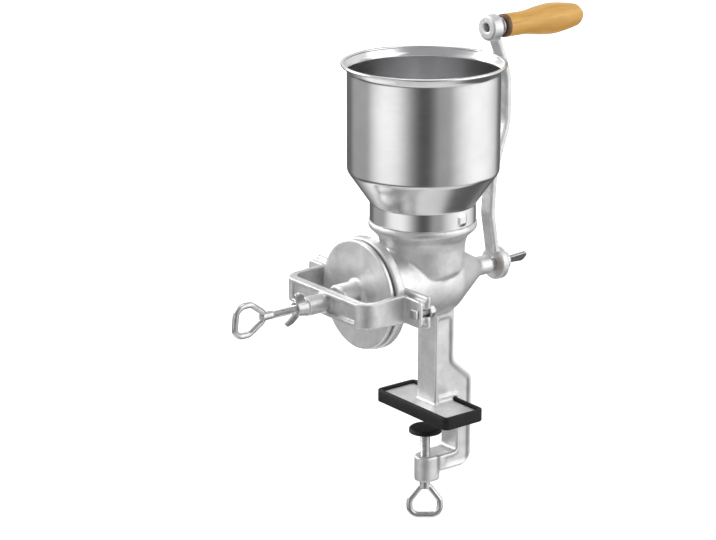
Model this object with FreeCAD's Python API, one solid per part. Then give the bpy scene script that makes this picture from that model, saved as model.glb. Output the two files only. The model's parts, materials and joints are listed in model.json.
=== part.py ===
"""Hand crank peanut and grain mill: a cast body on a table clamp, a tall sheet hopper, a feed auger,
a fixed and a turning grinding plate, a yoke that presses them together, and a crank with a wooden grip.

Millimetres, +Z up. The origin lies on the underside of the rubber foot pad, straight below the hopper's
axis. +X runs along the auger towards the crank, and -Y is the side that the user faces.
"""
import FreeCAD, Part
import math
import os

V = FreeCAD.Vector

# ---- Clearances ----------------------------------------------------------------------------------
RUN_FIT = 0.05            # radial play of a shaft, screw or pin in its hole
PASS_GAP = 0.3            # between faces that move past each other
SLIP_FIT = 0.3            # radial play of the hopper neck over its spigot
PRESS_GAP = 0.02          # drawn round a pin that is pressed in

# ---- Layout --------------------------------------------------------------------------------------
AXIS_Z = 136.0            # auger axis above the table
FACE_X = -72.0            # front of the fixed flange, where the plates meet
AXIAL_FLOAT = 4.0         # how far the rotor backs away when the adjusting screw is slackened

# ---- Cast body -----------------------------------------------------------------------------------
FLANGE_R = 54.0
FLANGE_T = 10.0
BARREL_R = 36.0
BARREL_WALL = 6.0
NOSE_X = 22.0             # the barrel starts to taper to the boss here
BOSS_R = 9.5
BOSS_L = 21.0
BOSS_REACH = 11.0         # the bearing boss ends this far beyond the hopper's wall
THROAT_R = 23.5           # round outlet through the flange and the fixed plate
OUTLET_CONE_L = 5.0
MOUTH_Z = 196.0           # seat of the hopper
MOUTH_R = 51.8
MOUTH_T = 5.5
FUNNEL_R = 42.5           # outside of the funnel just under the mouth ring
FUNNEL_WALL = 5.5
FUNNEL_TOP = 14.5         # depths below the hopper's seat: end of the upright side,
FUNNEL_BELLY = 24.0       # the belly,
FUNNEL_DEPTH = 52.0       # and the foot, beside the barrel
FUNNEL_BELLY_IN = 1.9     # how far the side has leaned in at the belly,
FUNNEL_FOOT_IN = 3.5      # and at the foot
FUNNEL_FOOT_ROUND = 8.0
INLET_DEPTH = 46.0        # foot of the funnel's inside, which opens into the bore
INLET_BELLY_IN = 4.3      # the inside leans in faster than the outside: at the belly,
INLET_FOOT_IN = 12.5      # and at its foot
SPIGOT_H = 11.0
SPIGOT_WALL = 3.2
EAR_REACH = 85.5          # half width over the ears
EAR_H = 31.0
EAR_T = 4.0
EAR_X = FACE_X + FLANGE_T - 1.0      # front of the body ears
EAR_PAD_H = 20.0
SLOT_W = 7.0              # open slot for a yoke bolt
SLOT_DEPTH = 11.0

# ---- Leg, foot plate and clamp frame ---------------------------------------------------------------
LEG_X = 6.0               # front face of the leg
LEG_W = 29.0              # width of its front flange
LEG_DEPTH = 24.8
FRAME_W = 25.0            # width of the clamp frame
FRAME_IN_X = 35.5         # throat side of the clamp frame
FRAME_BACK_X = 53.6
FRAME_FLANGE = 3.4
POCKET_DEPTH = 2.0
SHOULDER_Z = 51.0         # the back of the leg steps out to the clamp frame from here
SHOULDER_H = 20.0
JAW_TOP_Z = -45.0
JAW_H = 16.0
CLAMP_X = 5.5             # axis of the clamp screw
CLAMP_BOSS_R = 10.5
CLAMP_BOSS_L = 5.0        # the boss is drawn out by this much towards the frame
CLAMP_BOSS_DROP = 10.0    # how far it hangs below the jaw
PAD_LENGTH = 48.5         # along X
PAD_WIDTH = 108.0
PAD_T = 12.5
PAD_END_X = 34.5
PAD_FLOOR = 3.0
PAD_RIM = 4.0
PAD_CORNER = 6.0
FOOT_PLATE_T = 7.0
RIM_CLEAR = 0.4           # between the pad's rim and the frame above it

# ---- Hopper ----------------------------------------------------------------------------------------
HOPPER_R = 72.0
HOPPER_H = 150.0          # from seat to lip
NECK_R = 50.5
NECK_H = 18.0
CONE_H = 31.0
SHEET = 0.9
LIP_FLARE = 4.3
LIP_H = 6.5
BEAD_R = 1.6
LOCK_ANGLE = -82.0        # pressed lock on the neck, degrees about the hopper's axis
LOCK_W = 10.0
LOCK_H = 9.0
LOCK_RISE = 1.1

# ---- Auger and plates ------------------------------------------------------------------------------
SHAFT_R = 6.0
BUSH_WALL = 1.5
BUSH_L = 33.0
BUSH_COLLAR_H = 3.0
BUSH_COLLAR_L = 2.0
CORE_R = 10.0
FLIGHT_PITCH = 30.0
FLIGHT_T = 5.0
FLIGHT_GAP = 1.2          # between the flights and the barrel
FLIGHT_TURN = 20.0        # degrees from upright where the flight begins
PLATE_R = 46.0
PLATE_T = 4.0
PLATE_BORE_R = 14.0       # hole in the turning plate
GROOVES = 20
GROOVE_W = 2.2
GROOVE_DEPTH = 1.0
PLATE_SCREWS = 3
PLATE_SCREW_R = 2.0
PLATE_SCREW_PCR = 34.0
FIXED_SCREWS_TURN = 90.0  # degrees from upright of the first screw in each plate
TURNING_SCREWS_TURN = 30.0
PLATE_SINK = 0.2          # the fixed plate's face lies this far inside the flange
HOLDER_R = 52.5
HOLDER_T = 4.5
HOLDER_RIM = 1.5          # rim of the holder that stands round its plate
RIM_GAP = 2.5             # between the holder's rim and the flange
HUB_R = 13.5
HUB_L = 24.0
PIN_R = 2.5
PIN_FROM_HUB_END = 17.0
HUB_SOCKET = 11.0         # open end of the hub, for the ball and the adjusting screw
BALL_R = 4.0

# ---- Yoke and its screws -----------------------------------------------------------------------------
YOKE_HALF = 63.0
YOKE_BACK_X = -119.0
YOKE_ARM_T = 5.0
YOKE_BAR_T = 9.0
YOKE_BAR_H = 23.5
YOKE_ARM_H = 27.0
YOKE_CORNER = 15.0
YOKE_WEB_CUT = 4.0
YOKE_BOSS_R = 9.0
YOKE_BOSS_L = 20.0
YOKE_EAR_H = 26.0
BOLT_Y = 79.0
BOLT_R = 3.25
BOLT_HEAD = 9.0
BOLT_HEAD_T = 3.5
NUT_FLATS = 11.0
NUT_T = 5.0
BOLT_END = 3.0            # of the bolt past its nut
WASHER_T = 1.4
WASHER_R = 7.0
ADJUST_R = 4.0
ADJUST_OUT_X = -185.0     # where the adjusting screw's ring begins
WING_NUT_R = 8.5
WING_NUT_L = 11.0
WING_SPAN = 21.0
WING_T = 3.0
WING_LEAN = 27.0          # degrees from upright

# ---- Ring handles ------------------------------------------------------------------------------------
RING_WIDE = 36.0
RING_LONG = 34.5
RING_WIRE_R = 3.0
ADJUST_RING_TURN = 8.0    # degrees about each screw's own axis
CLAMP_RING_TURN = -38.0

# ---- Crank and grip ----------------------------------------------------------------------------------
CRANK_LENGTH = 234.0
CRANK_HUB_R = 16.8
CRANK_HUB_T = 9.0
CRANK_HUB_GAP = 5.0       # from the bearing boss
CRANK_NOSE_R = 9.5
CRANK_NOSE_L = 8.0
ARM_T = 6.2
ARM_W = 12.8              # at the eye
ARM_ROOT_W = 16.5         # at the hub
ARM_ROOT_Z = 12.0         # height of its lower end over the shaft
ARM_LEAN_IN = 7.0         # towards the mill, below the hopper, from the hub's face
ARM_LEAN_Z = 52.5         # height of that bend over the shaft
ARM_BOW_OUT = 12.2        # away from the mill, past the hopper's lip
ARM_BOW_END = 49.0        # the bow ends this far below the eye
EYE_R = 12.4
EYE_T = 12.0
EYE_SET_BACK = 12.5
FLAT_DEPTH = 1.6          # of the driving flat on the shaft
SHAFT_SET_BACK = 4.5      # the shaft ends this far inside the crank's nose
THUMB_R = 3.0
THUMB_BLADE_L = 23.0
THUMB_BLADE_W = 13.0
THUMB_LEAN = 35.0
GRIP_BOLT_R = 4.0
GRIP_GAP = 6.5            # lock nut and washer between eye and grip
GRIP_BOLT_SHORT = 4.0     # the bolt ends this far inside the eye
GRIP_WASHER_SPACE = 2.0   # the washer's share of it
GRIP_WASHER_R = 8.5
GRIP_NUT_FLATS = 13.0
GRIP_HEAD_R = 6.5         # head of the grip's bolt, in a well in the grip's end
GRIP_HEAD_T = 3.0
GRIP_WELL = 8.0
GRIP_L = 99.0
GRIP_END_R = 11.2
GRIP_BULB_R = 15.0

# ---- Clamp screw -------------------------------------------------------------------------------------
CLAMP_OPEN = 16.0         # between pad and rubber cap
CLAMP_R = 5.0
CLAMP_RING_Z = -77.0
FOOT_R = 14.2
FOOT_T = 2.8
CAP_T = 1.4
CAP_WALL = 1.3
NECK_PIN_R = 3.8          # neck of the screw that the foot turns on
RIVET_R = 2.0
RIVET_HEAD_R = 6.0
RIVET_HEAD_T = 1.1
RIVET_L = 10.0

# ---- Worked out ----------------------------------------------------------------------------------------
AXLE = (0.0, AXIS_Z)      # y and z of the auger axis
BOSS_END_X = HOPPER_R + BOSS_REACH
NOSE_END_X = BOSS_END_X - BOSS_L
BARREL_BORE = BARREL_R - BARREL_WALL
BUSH_R = SHAFT_R + RUN_FIT + BUSH_WALL
BUSH_COLLAR_R = BUSH_R + BUSH_COLLAR_H
BUSH_X = BOSS_END_X - BUSH_L
PLATE_SEAT_X = FACE_X + PLATE_T + PLATE_SINK
SPIGOT_R = NECK_R - SHEET - SLIP_FIT
HOLDER_BACK_X = FACE_X - RIM_GAP
HOLDER_FACE_X = HOLDER_BACK_X - HOLDER_T
HUB_END_X = HOLDER_FACE_X - HUB_L
SHAFT_TIP_X = HUB_END_X + HUB_SOCKET
BALL_X = SHAFT_TIP_X - BALL_R
ADJUST_TIP_X = BALL_X - BALL_R
TURNING_PLATE_X = HOLDER_BACK_X - HOLDER_RIM
YOKE_EAR_X = FACE_X
EAR_PAD_X = YOKE_EAR_X + EAR_T
EAR_BACK_X = EAR_X + EAR_T
AUGER_END_X = BUSH_X - BUSH_COLLAR_L - PASS_GAP
CRANK_X = BOSS_END_X + CRANK_HUB_GAP
CRANK_NOSE_X = CRANK_X + CRANK_HUB_T
CRANK_TIP_X = CRANK_NOSE_X + CRANK_NOSE_L
SHAFT_END_X = CRANK_TIP_X - SHAFT_SET_BACK
EYE_Z = AXIS_Z + CRANK_LENGTH
EYE_X = CRANK_X - EYE_SET_BACK
EYE_END_X = EYE_X + EYE_T
GRIP_X = EYE_END_X + GRIP_GAP
GRIP_AXLE = (0.0, EYE_Z)
PLATE_LEFT_X = PAD_END_X - PAD_LENGTH + PAD_RIM
FOOT_PLATE_TOP = PAD_FLOOR + FOOT_PLATE_T
CAP_TOP_Z = -CLAMP_OPEN
FOOT_TOP_Z = CAP_TOP_Z - CAP_T
FOOT_BOTTOM_Z = FOOT_TOP_Z - FOOT_T
RIVET_SEAT_Z = FOOT_TOP_Z - PASS_GAP - RIVET_HEAD_T


# ---- Shapes --------------------------------------------------------------------------------------------
def cylinder_x(radius, start, end, at=AXLE):
    """Cylinder along X at the given y and z."""
    return Part.makeCylinder(radius, end - start, V(start, at[0], at[1]), V(1, 0, 0))


def cylinder_z(radius, bottom, top, at=(0.0, 0.0)):
    """Cylinder along Z at the given x and y."""
    return Part.makeCylinder(radius, top - bottom, V(at[0], at[1], bottom), V(0, 0, 1))


def block(x_range, y_range, z_range):
    """Box between the given limits."""
    (x0, x1), (y0, y1), (z0, z1) = x_range, y_range, z_range
    return Part.makeBox(x1 - x0, y1 - y0, z1 - z0, V(x0, y0, z0))


def wide(width):
    """Limits of a width that is centred on Y = 0."""
    return -width / 2.0, width / 2.0


def corner_edges(points, radii, closed):
    """Straight edges with a tangent arc at each corner that has a radius."""
    count = len(points)
    ends = []
    for i, point in enumerate(points):
        at_end = not closed and i in (0, count - 1)
        if at_end or radii[i] <= 0:
            ends.append((point, None, point))
            continue
        back = (points[i - 1] - point).normalize()
        ahead = (points[(i + 1) % count] - point).normalize()
        half = back.getAngle(ahead) / 2.0
        reach = radii[i] / math.tan(half)
        bisector = (back + ahead).normalize()
        middle = point + bisector * (radii[i] / math.sin(half) - radii[i])
        ends.append((point + back * reach, middle, point + ahead * reach))
    edges = []
    for i in range(count):
        first, middle, last = ends[i]
        if middle is not None:
            edges.append(Part.Arc(first, middle, last).toShape())
        if closed or i < count - 1:
            following = ends[(i + 1) % count][0]
            if last.distanceToPoint(following) > 1e-6:
                edges.append(Part.LineSegment(last, following).toShape())
    return edges


def rounded_wire(points, radii, closed=True):
    """Wire through the points with rounded corners; one radius or one per point."""
    if isinstance(radii, (int, float)):
        radii = [radii] * len(points)
    return Part.Wire(corner_edges(points, radii, closed))


def plate_xz(outline, radii, y_range):
    """Plate with an outline of (x, z) points, between two y values."""
    face = Part.Face(rounded_wire([V(x, y_range[0], z) for x, z in outline], radii))
    return face.extrude(V(0, y_range[1] - y_range[0], 0))


def plate_xy(outline, radii, z_range):
    """Plate with an outline of (x, y) points, between two z values."""
    face = Part.Face(rounded_wire([V(x, y, z_range[0]) for x, y in outline], radii))
    return face.extrude(V(0, 0, z_range[1] - z_range[0]))


def rectangle(u_range, v_range):
    """Four corners of a rectangle."""
    (u0, u1), (v0, v1) = u_range, v_range
    return [(u0, v0), (u1, v0), (u1, v1), (u0, v1)]


def turned_z(profile, radii=0.0):
    """Solid of revolution about Z from closed (radius, z) points."""
    face = Part.Face(rounded_wire([V(r, 0, z) for r, z in profile], radii))
    return face.revolve(V(0, 0, 0), V(0, 0, 1), 360)


def turned_x(profile, at=AXLE, radii=0.0):
    """Solid of revolution about a line along X from closed (x, radius) points."""
    face = Part.Face(rounded_wire([V(x, at[0], at[1] + r) for x, r in profile], radii))
    return face.revolve(V(0, at[0], at[1]), V(1, 0, 0), 360)


def around_x(shape, degrees, at=AXLE):
    """Copy turned about a line along X."""
    copy = shape.copy()
    copy.rotate(V(0, at[0], at[1]), V(1, 0, 0), degrees)
    return copy


def mirrored_y(shape):
    """Copy mirrored to the other side of the auger."""
    return shape.mirror(V(0, 0, 0), V(0, 1, 0))


def fused(first, *others):
    """One solid from pieces that overlap."""
    return first.fuse(list(others)).removeSplitter()


def swept_bar(path, section):
    """Bar of the given closed section swept along a path of tangent edges."""
    return path.makePipeShell([section], True, True)


def hexagon_x(flats, start, end, at):
    """Hexagonal bar along X, flats across Z."""
    reach = flats / math.sqrt(3.0)
    turns = [math.radians(60 * i) for i in range(6)]
    points = [V(start, at[0] + reach * math.cos(a), at[1] + reach * math.sin(a)) for a in turns]
    return Part.Face(Part.makePolygon(points + points[:1])).extrude(V(end - start, 0, 0))


def inset_line(points, distance):
    """Open polyline moved sideways to its left, with mitred corners."""
    shifted = []
    for (x0, z0), (x1, z1) in zip(points[:-1], points[1:]):
        length = math.hypot(x1 - x0, z1 - z0)
        nx, nz = -(z1 - z0) / length * distance, (x1 - x0) / length * distance
        shifted.append(((x0 + nx, z0 + nz), (x1 + nx, z1 + nz)))
    moved = [shifted[0][0]]
    for (a, b), (c, d) in zip(shifted[:-1], shifted[1:]):
        dx1, dz1, dx2, dz2 = b[0] - a[0], b[1] - a[1], d[0] - c[0], d[1] - c[1]
        share = ((c[0] - a[0]) * dz2 - (c[1] - a[1]) * dx2) / (dx1 * dz2 - dz1 * dx2)
        moved.append((a[0] + share * dx1, a[1] + share * dz1))
    moved.append(shifted[-1][1])
    return moved


# ---- Hopper ----------------------------------------------------------------------------------------------
def hopper_shell():
    """Sheet hopper: neck, cone, tall cylinder and a flared lip with a rolled bead."""
    lip_z = MOUTH_Z + HOPPER_H
    outside = [
        (NECK_R, MOUTH_Z),
        (NECK_R, MOUTH_Z + NECK_H),
        (HOPPER_R, MOUTH_Z + NECK_H + CONE_H),
        (HOPPER_R, lip_z - LIP_H),
        (HOPPER_R + LIP_FLARE, lip_z),
    ]
    inside = inset_line(outside, SHEET)
    bends = [0, 3.0, 5.0, 6.0, 0]
    inner_bends = [0, 3.0 + SHEET, 5.0 - SHEET, 6.0 + SHEET, 0]
    shell = turned_z(outside + inside[::-1], bends + inner_bends[::-1])
    bead = Part.makeTorus(HOPPER_R + LIP_FLARE, BEAD_R, V(0, 0, lip_z), V(0, 0, 1))
    locks = []
    middle_z = MOUTH_Z + NECK_H / 2.0
    for angle in (LOCK_ANGLE, LOCK_ANGLE + 180.0):
        crest = NECK_R + LOCK_RISE
        locks.append(lock_block(angle, NECK_R - SHEET / 2.0, crest, LOCK_W, LOCK_H, middle_z))
    shell = fused(shell, bead, *locks)
    for angle in (LOCK_ANGLE, LOCK_ANGLE + 180.0):
        shell = shell.cut(lock_block(angle, SPIGOT_R, NECK_R + LOCK_RISE - SHEET, LOCK_W - 2 * SHEET,
                                     LOCK_H - 2 * SHEET, middle_z))
    return shell


def lock_block(angle, inner, outer, width, height, middle_z):
    """Piece of a ring at the given angle, as wide and tall as a neck lock."""
    ring = cylinder_z(outer, middle_z - height / 2, middle_z + height / 2)
    ring = ring.cut(cylinder_z(inner, middle_z - height, middle_z + height))
    window = block((inner - 10, outer + 10), wide(width), (middle_z - height, middle_z + height))
    window.rotate(V(0, 0, 0), V(0, 0, 1), angle)
    return ring.common(window)


# ---- Cast body -------------------------------------------------------------------------------------------
def leg_outline():
    """Side view of leg, clamp frame and lower jaw as (x, z) points."""
    rim_in = PAD_END_X - PAD_RIM
    over_rim = PAD_T + RIM_CLEAR
    jaw_start = CLAMP_X + CLAMP_BOSS_R - 2.0
    return [
        (LEG_X, AXIS_Z),
        (LEG_X, PAD_FLOOR),
        (rim_in, PAD_FLOOR),
        (rim_in, over_rim),
        (FRAME_IN_X, over_rim),
        (FRAME_IN_X, JAW_TOP_Z),
        (jaw_start, JAW_TOP_Z),
        (jaw_start, JAW_TOP_Z - JAW_H),
        (FRAME_BACK_X, JAW_TOP_Z - JAW_H),
        (FRAME_BACK_X, SHOULDER_Z - SHOULDER_H),
        (LEG_X + LEG_DEPTH, SHOULDER_Z),
        (LEG_X + LEG_DEPTH, AXIS_Z),
    ]


def pocket_outline():
    """The same side view inside its edge flanges, clear of barrel and clamp boss."""
    edge = FRAME_FLANGE
    ceiling = AXIS_Z - BARREL_R - edge
    floor = PAD_T + RIM_CLEAR + edge
    boss_side = CLAMP_X + CLAMP_BOSS_L + CLAMP_BOSS_R
    return [
        (LEG_X + edge, ceiling),
        (LEG_X + edge, floor),
        (FRAME_IN_X + edge, floor),
        (FRAME_IN_X + edge, JAW_TOP_Z - edge),
        (boss_side, JAW_TOP_Z - edge),
        (boss_side, JAW_TOP_Z - JAW_H + edge),
        (FRAME_BACK_X - edge, JAW_TOP_Z - JAW_H + edge),
        (FRAME_BACK_X - edge, SHOULDER_Z - SHOULDER_H - edge / 2),
        (LEG_X + LEG_DEPTH - edge, SHOULDER_Z - edge / 2),
        (LEG_X + LEG_DEPTH - edge, ceiling),
    ]


def clamp_frame():
    """I-section leg and C-shaped clamp frame with the foot plate and the threaded boss."""
    radii = [0, 0, 0, 0, 0, 4.0, 0, 0, 14.0, 11.0, 11.0, 0]
    frame = plate_xz(leg_outline(), radii, wide(FRAME_W))
    pocket_radii = [4.0, 4.0, 6.0, 6.0, 2.0, 2.0, 6.0, 9.0, 9.0, 4.0]
    pocket = plate_xz(pocket_outline(), pocket_radii, (-FRAME_W, POCKET_DEPTH - FRAME_W / 2))
    flange_z = (FOOT_PLATE_TOP - 1.0, AXIS_Z - BARREL_R + 14.0)
    flange = block((LEG_X, LEG_X + FRAME_FLANGE), wide(LEG_W), flange_z)
    frame = fused(frame, flange)
    frame = frame.cut([pocket, mirrored_y(pocket)])
    half = PAD_WIDTH / 2 - PAD_RIM
    plate = plate_xy(rectangle((PLATE_LEFT_X, PAD_END_X - PAD_RIM), (-half, half)), PAD_CORNER - PAD_RIM,
                     (PAD_FLOOR, FOOT_PLATE_TOP))
    frame = fused(frame, plate, clamp_boss())
    hole_bottom = JAW_TOP_Z - JAW_H - CLAMP_BOSS_DROP - 1.0
    return frame.cut(cylinder_z(CLAMP_R + RUN_FIT, hole_bottom, JAW_TOP_Z + 1.0, (CLAMP_X, 0.0)))


def clamp_boss():
    """Threaded boss at the end of the lower jaw, drawn out towards the frame."""
    bottom = JAW_TOP_Z - JAW_H - CLAMP_BOSS_DROP
    far = CLAMP_X + CLAMP_BOSS_L
    near_end = cylinder_z(CLAMP_BOSS_R, bottom, JAW_TOP_Z, (CLAMP_X, 0.0))
    far_end = cylinder_z(CLAMP_BOSS_R, bottom, JAW_TOP_Z, (far, 0.0))
    middle = block((CLAMP_X, far), wide(2 * CLAMP_BOSS_R), (bottom, JAW_TOP_Z))
    return fused(near_end, middle, far_end)


def funnel_side(radius, belly_in, foot_in, depth):
    """Half section of the funnel's side below the mouth ring and its flat foot, from top to bottom."""
    return [
        (radius, MOUTH_Z - FUNNEL_TOP),
        (radius - belly_in, MOUTH_Z - FUNNEL_BELLY),
        (radius - foot_in, MOUTH_Z - depth),
        (0, MOUTH_Z - depth),
    ]


def body_ears():
    """Full-width bar behind the flange that makes both slotted ears, with their seats for the yoke."""
    bar = block((EAR_X, EAR_BACK_X), wide(2 * EAR_REACH), (AXIS_Z - EAR_H / 2, AXIS_Z + EAR_H / 2))
    seat_y = YOKE_HALF + 3.0
    pieces = [bar]
    for side in (-1, 1):
        limits = sorted((side * seat_y, side * (EAR_REACH - 2.0)))
        pad_z = (AXIS_Z - EAR_PAD_H / 2, AXIS_Z + EAR_PAD_H / 2)
        pieces.append(block((EAR_PAD_X, EAR_X + 0.5), limits, pad_z))
    ears = fused(*pieces)
    for side in (-1, 1):
        mouth = sorted((side * BOLT_Y, side * (EAR_REACH + 1.0)))
        slot = block((EAR_PAD_X - 1, EAR_BACK_X + 1), mouth, (AXIS_Z - SLOT_W / 2, AXIS_Z + SLOT_W / 2))
        end = cylinder_x(SLOT_W / 2, EAR_PAD_X - 1, EAR_BACK_X + 1, (side * BOLT_Y, AXIS_Z))
        ears = ears.cut([slot, end])
    return ears


def mill_body():
    """The one-piece casting: flange, barrel, boss, funnel with mouth, ears, leg and clamp frame."""
    flange_back = FACE_X + FLANGE_T
    shell = turned_x([
        (FACE_X, 0), (FACE_X, FLANGE_R), (flange_back, FLANGE_R), (flange_back, BARREL_R),
        (NOSE_X, BARREL_R), (NOSE_END_X, BOSS_R + 3.0), (NOSE_END_X + 6.0, BOSS_R),
        (BOSS_END_X, BOSS_R), (BOSS_END_X, 0),
    ], radii=[0, 1.5, 1.5, 4.0, 20.0, 4.0, 4.0, 0.8, 0])
    funnel = turned_z([
        (0, MOUTH_Z), (MOUTH_R, MOUTH_Z), (MOUTH_R, MOUTH_Z - MOUTH_T),
        *funnel_side(FUNNEL_R, FUNNEL_BELLY_IN, FUNNEL_FOOT_IN, FUNNEL_DEPTH),
    ], [0, 1.0, 2.0, 8.0, 10.0, FUNNEL_FOOT_ROUND, 0])
    spigot = cylinder_z(SPIGOT_R, MOUTH_Z - 1.0, MOUTH_Z + SPIGOT_H)
    lock_z = MOUTH_Z + NECK_H / 2.0
    lugs = [lock_block(a, SPIGOT_R - 1.0, NECK_R - PASS_GAP, LOCK_W / 2, LOCK_H / 2 - 1.0, lock_z)
            for a in (LOCK_ANGLE, LOCK_ANGLE + 180.0)]
    body = fused(shell, body_ears(), funnel, spigot, clamp_frame(), *lugs)
    inlet = turned_z([
        (0, MOUTH_Z + SPIGOT_H + 1.0), (SPIGOT_R - SPIGOT_WALL, MOUTH_Z + SPIGOT_H + 1.0),
        (SPIGOT_R - SPIGOT_WALL, MOUTH_Z),
        *funnel_side(FUNNEL_R - FUNNEL_WALL, INLET_BELLY_IN, INLET_FOOT_IN, INLET_DEPTH),
    ])
    chamber = turned_x([
        (FACE_X - 1, 0), (FACE_X - 1, PLATE_R + PASS_GAP), (PLATE_SEAT_X, PLATE_R + PASS_GAP),
        (PLATE_SEAT_X, THROAT_R), (flange_back - 1, THROAT_R), (flange_back + OUTLET_CONE_L, BARREL_BORE),
        (NOSE_X, BARREL_BORE), (BUSH_X - BUSH_COLLAR_L, BUSH_COLLAR_R + PASS_GAP),
        (BUSH_X, BUSH_COLLAR_R + PASS_GAP), (BUSH_X, BUSH_R), (BOSS_END_X + 1, BUSH_R), (BOSS_END_X + 1, 0),
    ])
    body = body.cut([inlet, chamber])
    screw_holes = ring_of(plate_screw(fixed_screw_stations(), RUN_FIT), FIXED_SCREWS_TURN)
    return body.cut(screw_holes)


def shaft_bush():
    """Bronze bush pressed into the boss, with a thrust flange inside the barrel."""
    start = BUSH_X - BUSH_COLLAR_L
    profile = [
        (start, SHAFT_R + RUN_FIT), (start, BUSH_COLLAR_R), (BUSH_X, BUSH_COLLAR_R),
        (BUSH_X, BUSH_R), (BOSS_END_X, BUSH_R), (BOSS_END_X, SHAFT_R + RUN_FIT),
    ]
    return turned_x(profile)


def foot_pad():
    """Rubber boot under the foot plate, with a rim round it."""
    half = PAD_WIDTH / 2
    outer = plate_xy(rectangle((PAD_END_X - PAD_LENGTH, PAD_END_X), (-half, half)), PAD_CORNER, (0.0, PAD_T))
    inner = half - PAD_RIM
    tray = plate_xy(rectangle((PLATE_LEFT_X, PAD_END_X - PAD_RIM), (-inner, inner)), PAD_CORNER - PAD_RIM,
                    (PAD_FLOOR, PAD_T + 1.0))
    return outer.cut(tray)


# ---- Auger and plates ----------------------------------------------------------------------------------
def helical_flight(start, length, outer, turn):
    """Flight with tapered flanks along X; it starts at an x and an angle, and ends one length on."""
    inner = CORE_R - 3.0
    foot, crest = FLIGHT_T * 0.7, FLIGHT_T * 0.4
    profile = Part.makePolygon([
        V(inner, 0, -foot), V(outer, 0, -crest), V(outer, 0, crest), V(inner, 0, foot), V(inner, 0, -foot),
    ])
    sweep = Part.BRepOffsetAPI.MakePipeShell(Part.Wire(Part.makeHelix(FLIGHT_PITCH, length, inner)))
    sweep.setBiNormalMode(V(0, 0, 1))
    sweep.add(profile)
    sweep.build()
    sweep.makeSolid()
    flight = sweep.shape()
    flight.rotate(V(0, 0, 0), V(0, 0, 1), turn)
    flight.rotate(V(0, 0, 0), V(0, 1, 0), 90)
    flight.translate(V(start, 0, AXIS_Z))
    return flight


def feed_auger():
    """Cast auger on its shaft: one coarse flight, a driving flat at the crank end and a tapped tip."""
    start = FACE_X + FLIGHT_T / 2
    change = FACE_X + FLANGE_T + OUTLET_CONE_L + AXIAL_FLOAT + FLIGHT_T
    slim = helical_flight(start, change - start, THROAT_R - FLIGHT_GAP, FLIGHT_TURN)
    onward = FLIGHT_TURN + 360.0 * (change - start) / FLIGHT_PITCH
    full = helical_flight(change, NOSE_X - 3.0 - change, BARREL_BORE - FLIGHT_GAP, onward)
    core = cylinder_x(CORE_R, TURNING_PLATE_X, AUGER_END_X)
    shaft = cylinder_x(SHAFT_R, SHAFT_TIP_X, SHAFT_END_X)
    return fused(core, slim, full, shaft).cut([
        driving_flat(CRANK_X, SHAFT_END_X + 1, 0.0),
        cylinder_x(THUMB_R + RUN_FIT, CRANK_X + 1, SHAFT_END_X + 1),
        drive_pin_bar(RUN_FIT, 0.0),
    ])


def driving_flat(start, end, play):
    """Block that takes the flat off the shaft, or fills it in the crank's hole."""
    low = AXIS_Z + SHAFT_R - FLAT_DEPTH + play
    return block((start, end), wide(4 * SHAFT_R), (low, low + 4 * SHAFT_R))


def drive_pin_bar(play, shorter):
    """Cross pin through hub and shaft, along Y."""
    reach = HUB_R - shorter
    centre = V(HUB_END_X + PIN_FROM_HUB_END, -reach, AXIS_Z)
    return Part.makeCylinder(PIN_R + play, 2 * reach, centre, V(0, 1, 0))


def ring_of(shape, first_angle):
    """Copies of a plate screw or its hole, spaced evenly round the auger axis."""
    step = 360.0 / PLATE_SCREWS
    return [around_x(shape, first_angle + step * i) for i in range(PLATE_SCREWS)]


def fixed_screw_stations():
    """X of head face, head foot and tip of a screw that holds the fixed plate."""
    return FACE_X + 1.4, FACE_X + 3.4, FACE_X + FLANGE_T - 2.0


def turning_screw_stations():
    """X of head face, head foot and tip of a screw that holds the turning plate."""
    face = TURNING_PLATE_X + PLATE_T
    return face - 1.2, face - 3.2, HOLDER_FACE_X + 0.8


def plate_screw(stations, play):
    """Countersunk screw from its head face to its tip, at the screw circle."""
    face, foot, tip = stations
    head_r = 2 * PLATE_SCREW_R
    return turned_x([
        (face, 0), (face, head_r + play), (foot, PLATE_SCREW_R + play),
        (tip, PLATE_SCREW_R + play), (tip, 0),
    ], at=(0.0, AXIS_Z + PLATE_SCREW_PCR))


def fixed_plate_screws():
    """Three countersunk screws that hold the fixed plate to the flange."""
    return Part.makeCompound(ring_of(plate_screw(fixed_screw_stations(), 0.0), FIXED_SCREWS_TURN))


def turning_plate_screws():
    """Three countersunk screws that hold the turning plate to its holder."""
    return Part.makeCompound(ring_of(plate_screw(turning_screw_stations(), 0.0), TURNING_SCREWS_TURN))


def screw_clearance(stations):
    """Hole for a plate screw, open towards its head."""
    face, foot, _ = stations
    head_r = 2 * PLATE_SCREW_R + RUN_FIT
    at = (0.0, AXIS_Z + PLATE_SCREW_PCR)
    open_x = face + 4.0 if foot < face else face - 4.0
    well = cylinder_x(head_r, min(face, open_x), max(face, open_x), at)
    return plate_screw(stations, RUN_FIT).fuse(well)


def grooved_plate(back_x, face_x, bore_r):
    """Ring with radial grinding grooves cut into its face."""
    low, high = min(back_x, face_x), max(back_x, face_x)
    plate = cylinder_x(PLATE_R, low, high).cut(cylinder_x(bore_r, low - 1, high + 1))
    depth = GROOVE_DEPTH if back_x < face_x else -GROOVE_DEPTH
    x_limits = sorted((face_x - depth, face_x + depth))
    inner = bore_r + 3.0
    groove = block(x_limits, wide(GROOVE_W), (AXIS_Z + inner, AXIS_Z + PLATE_R + 1))
    step = 360.0 / GROOVES
    return plate.cut([around_x(groove, step * (i + 0.5)) for i in range(GROOVES)])


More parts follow.
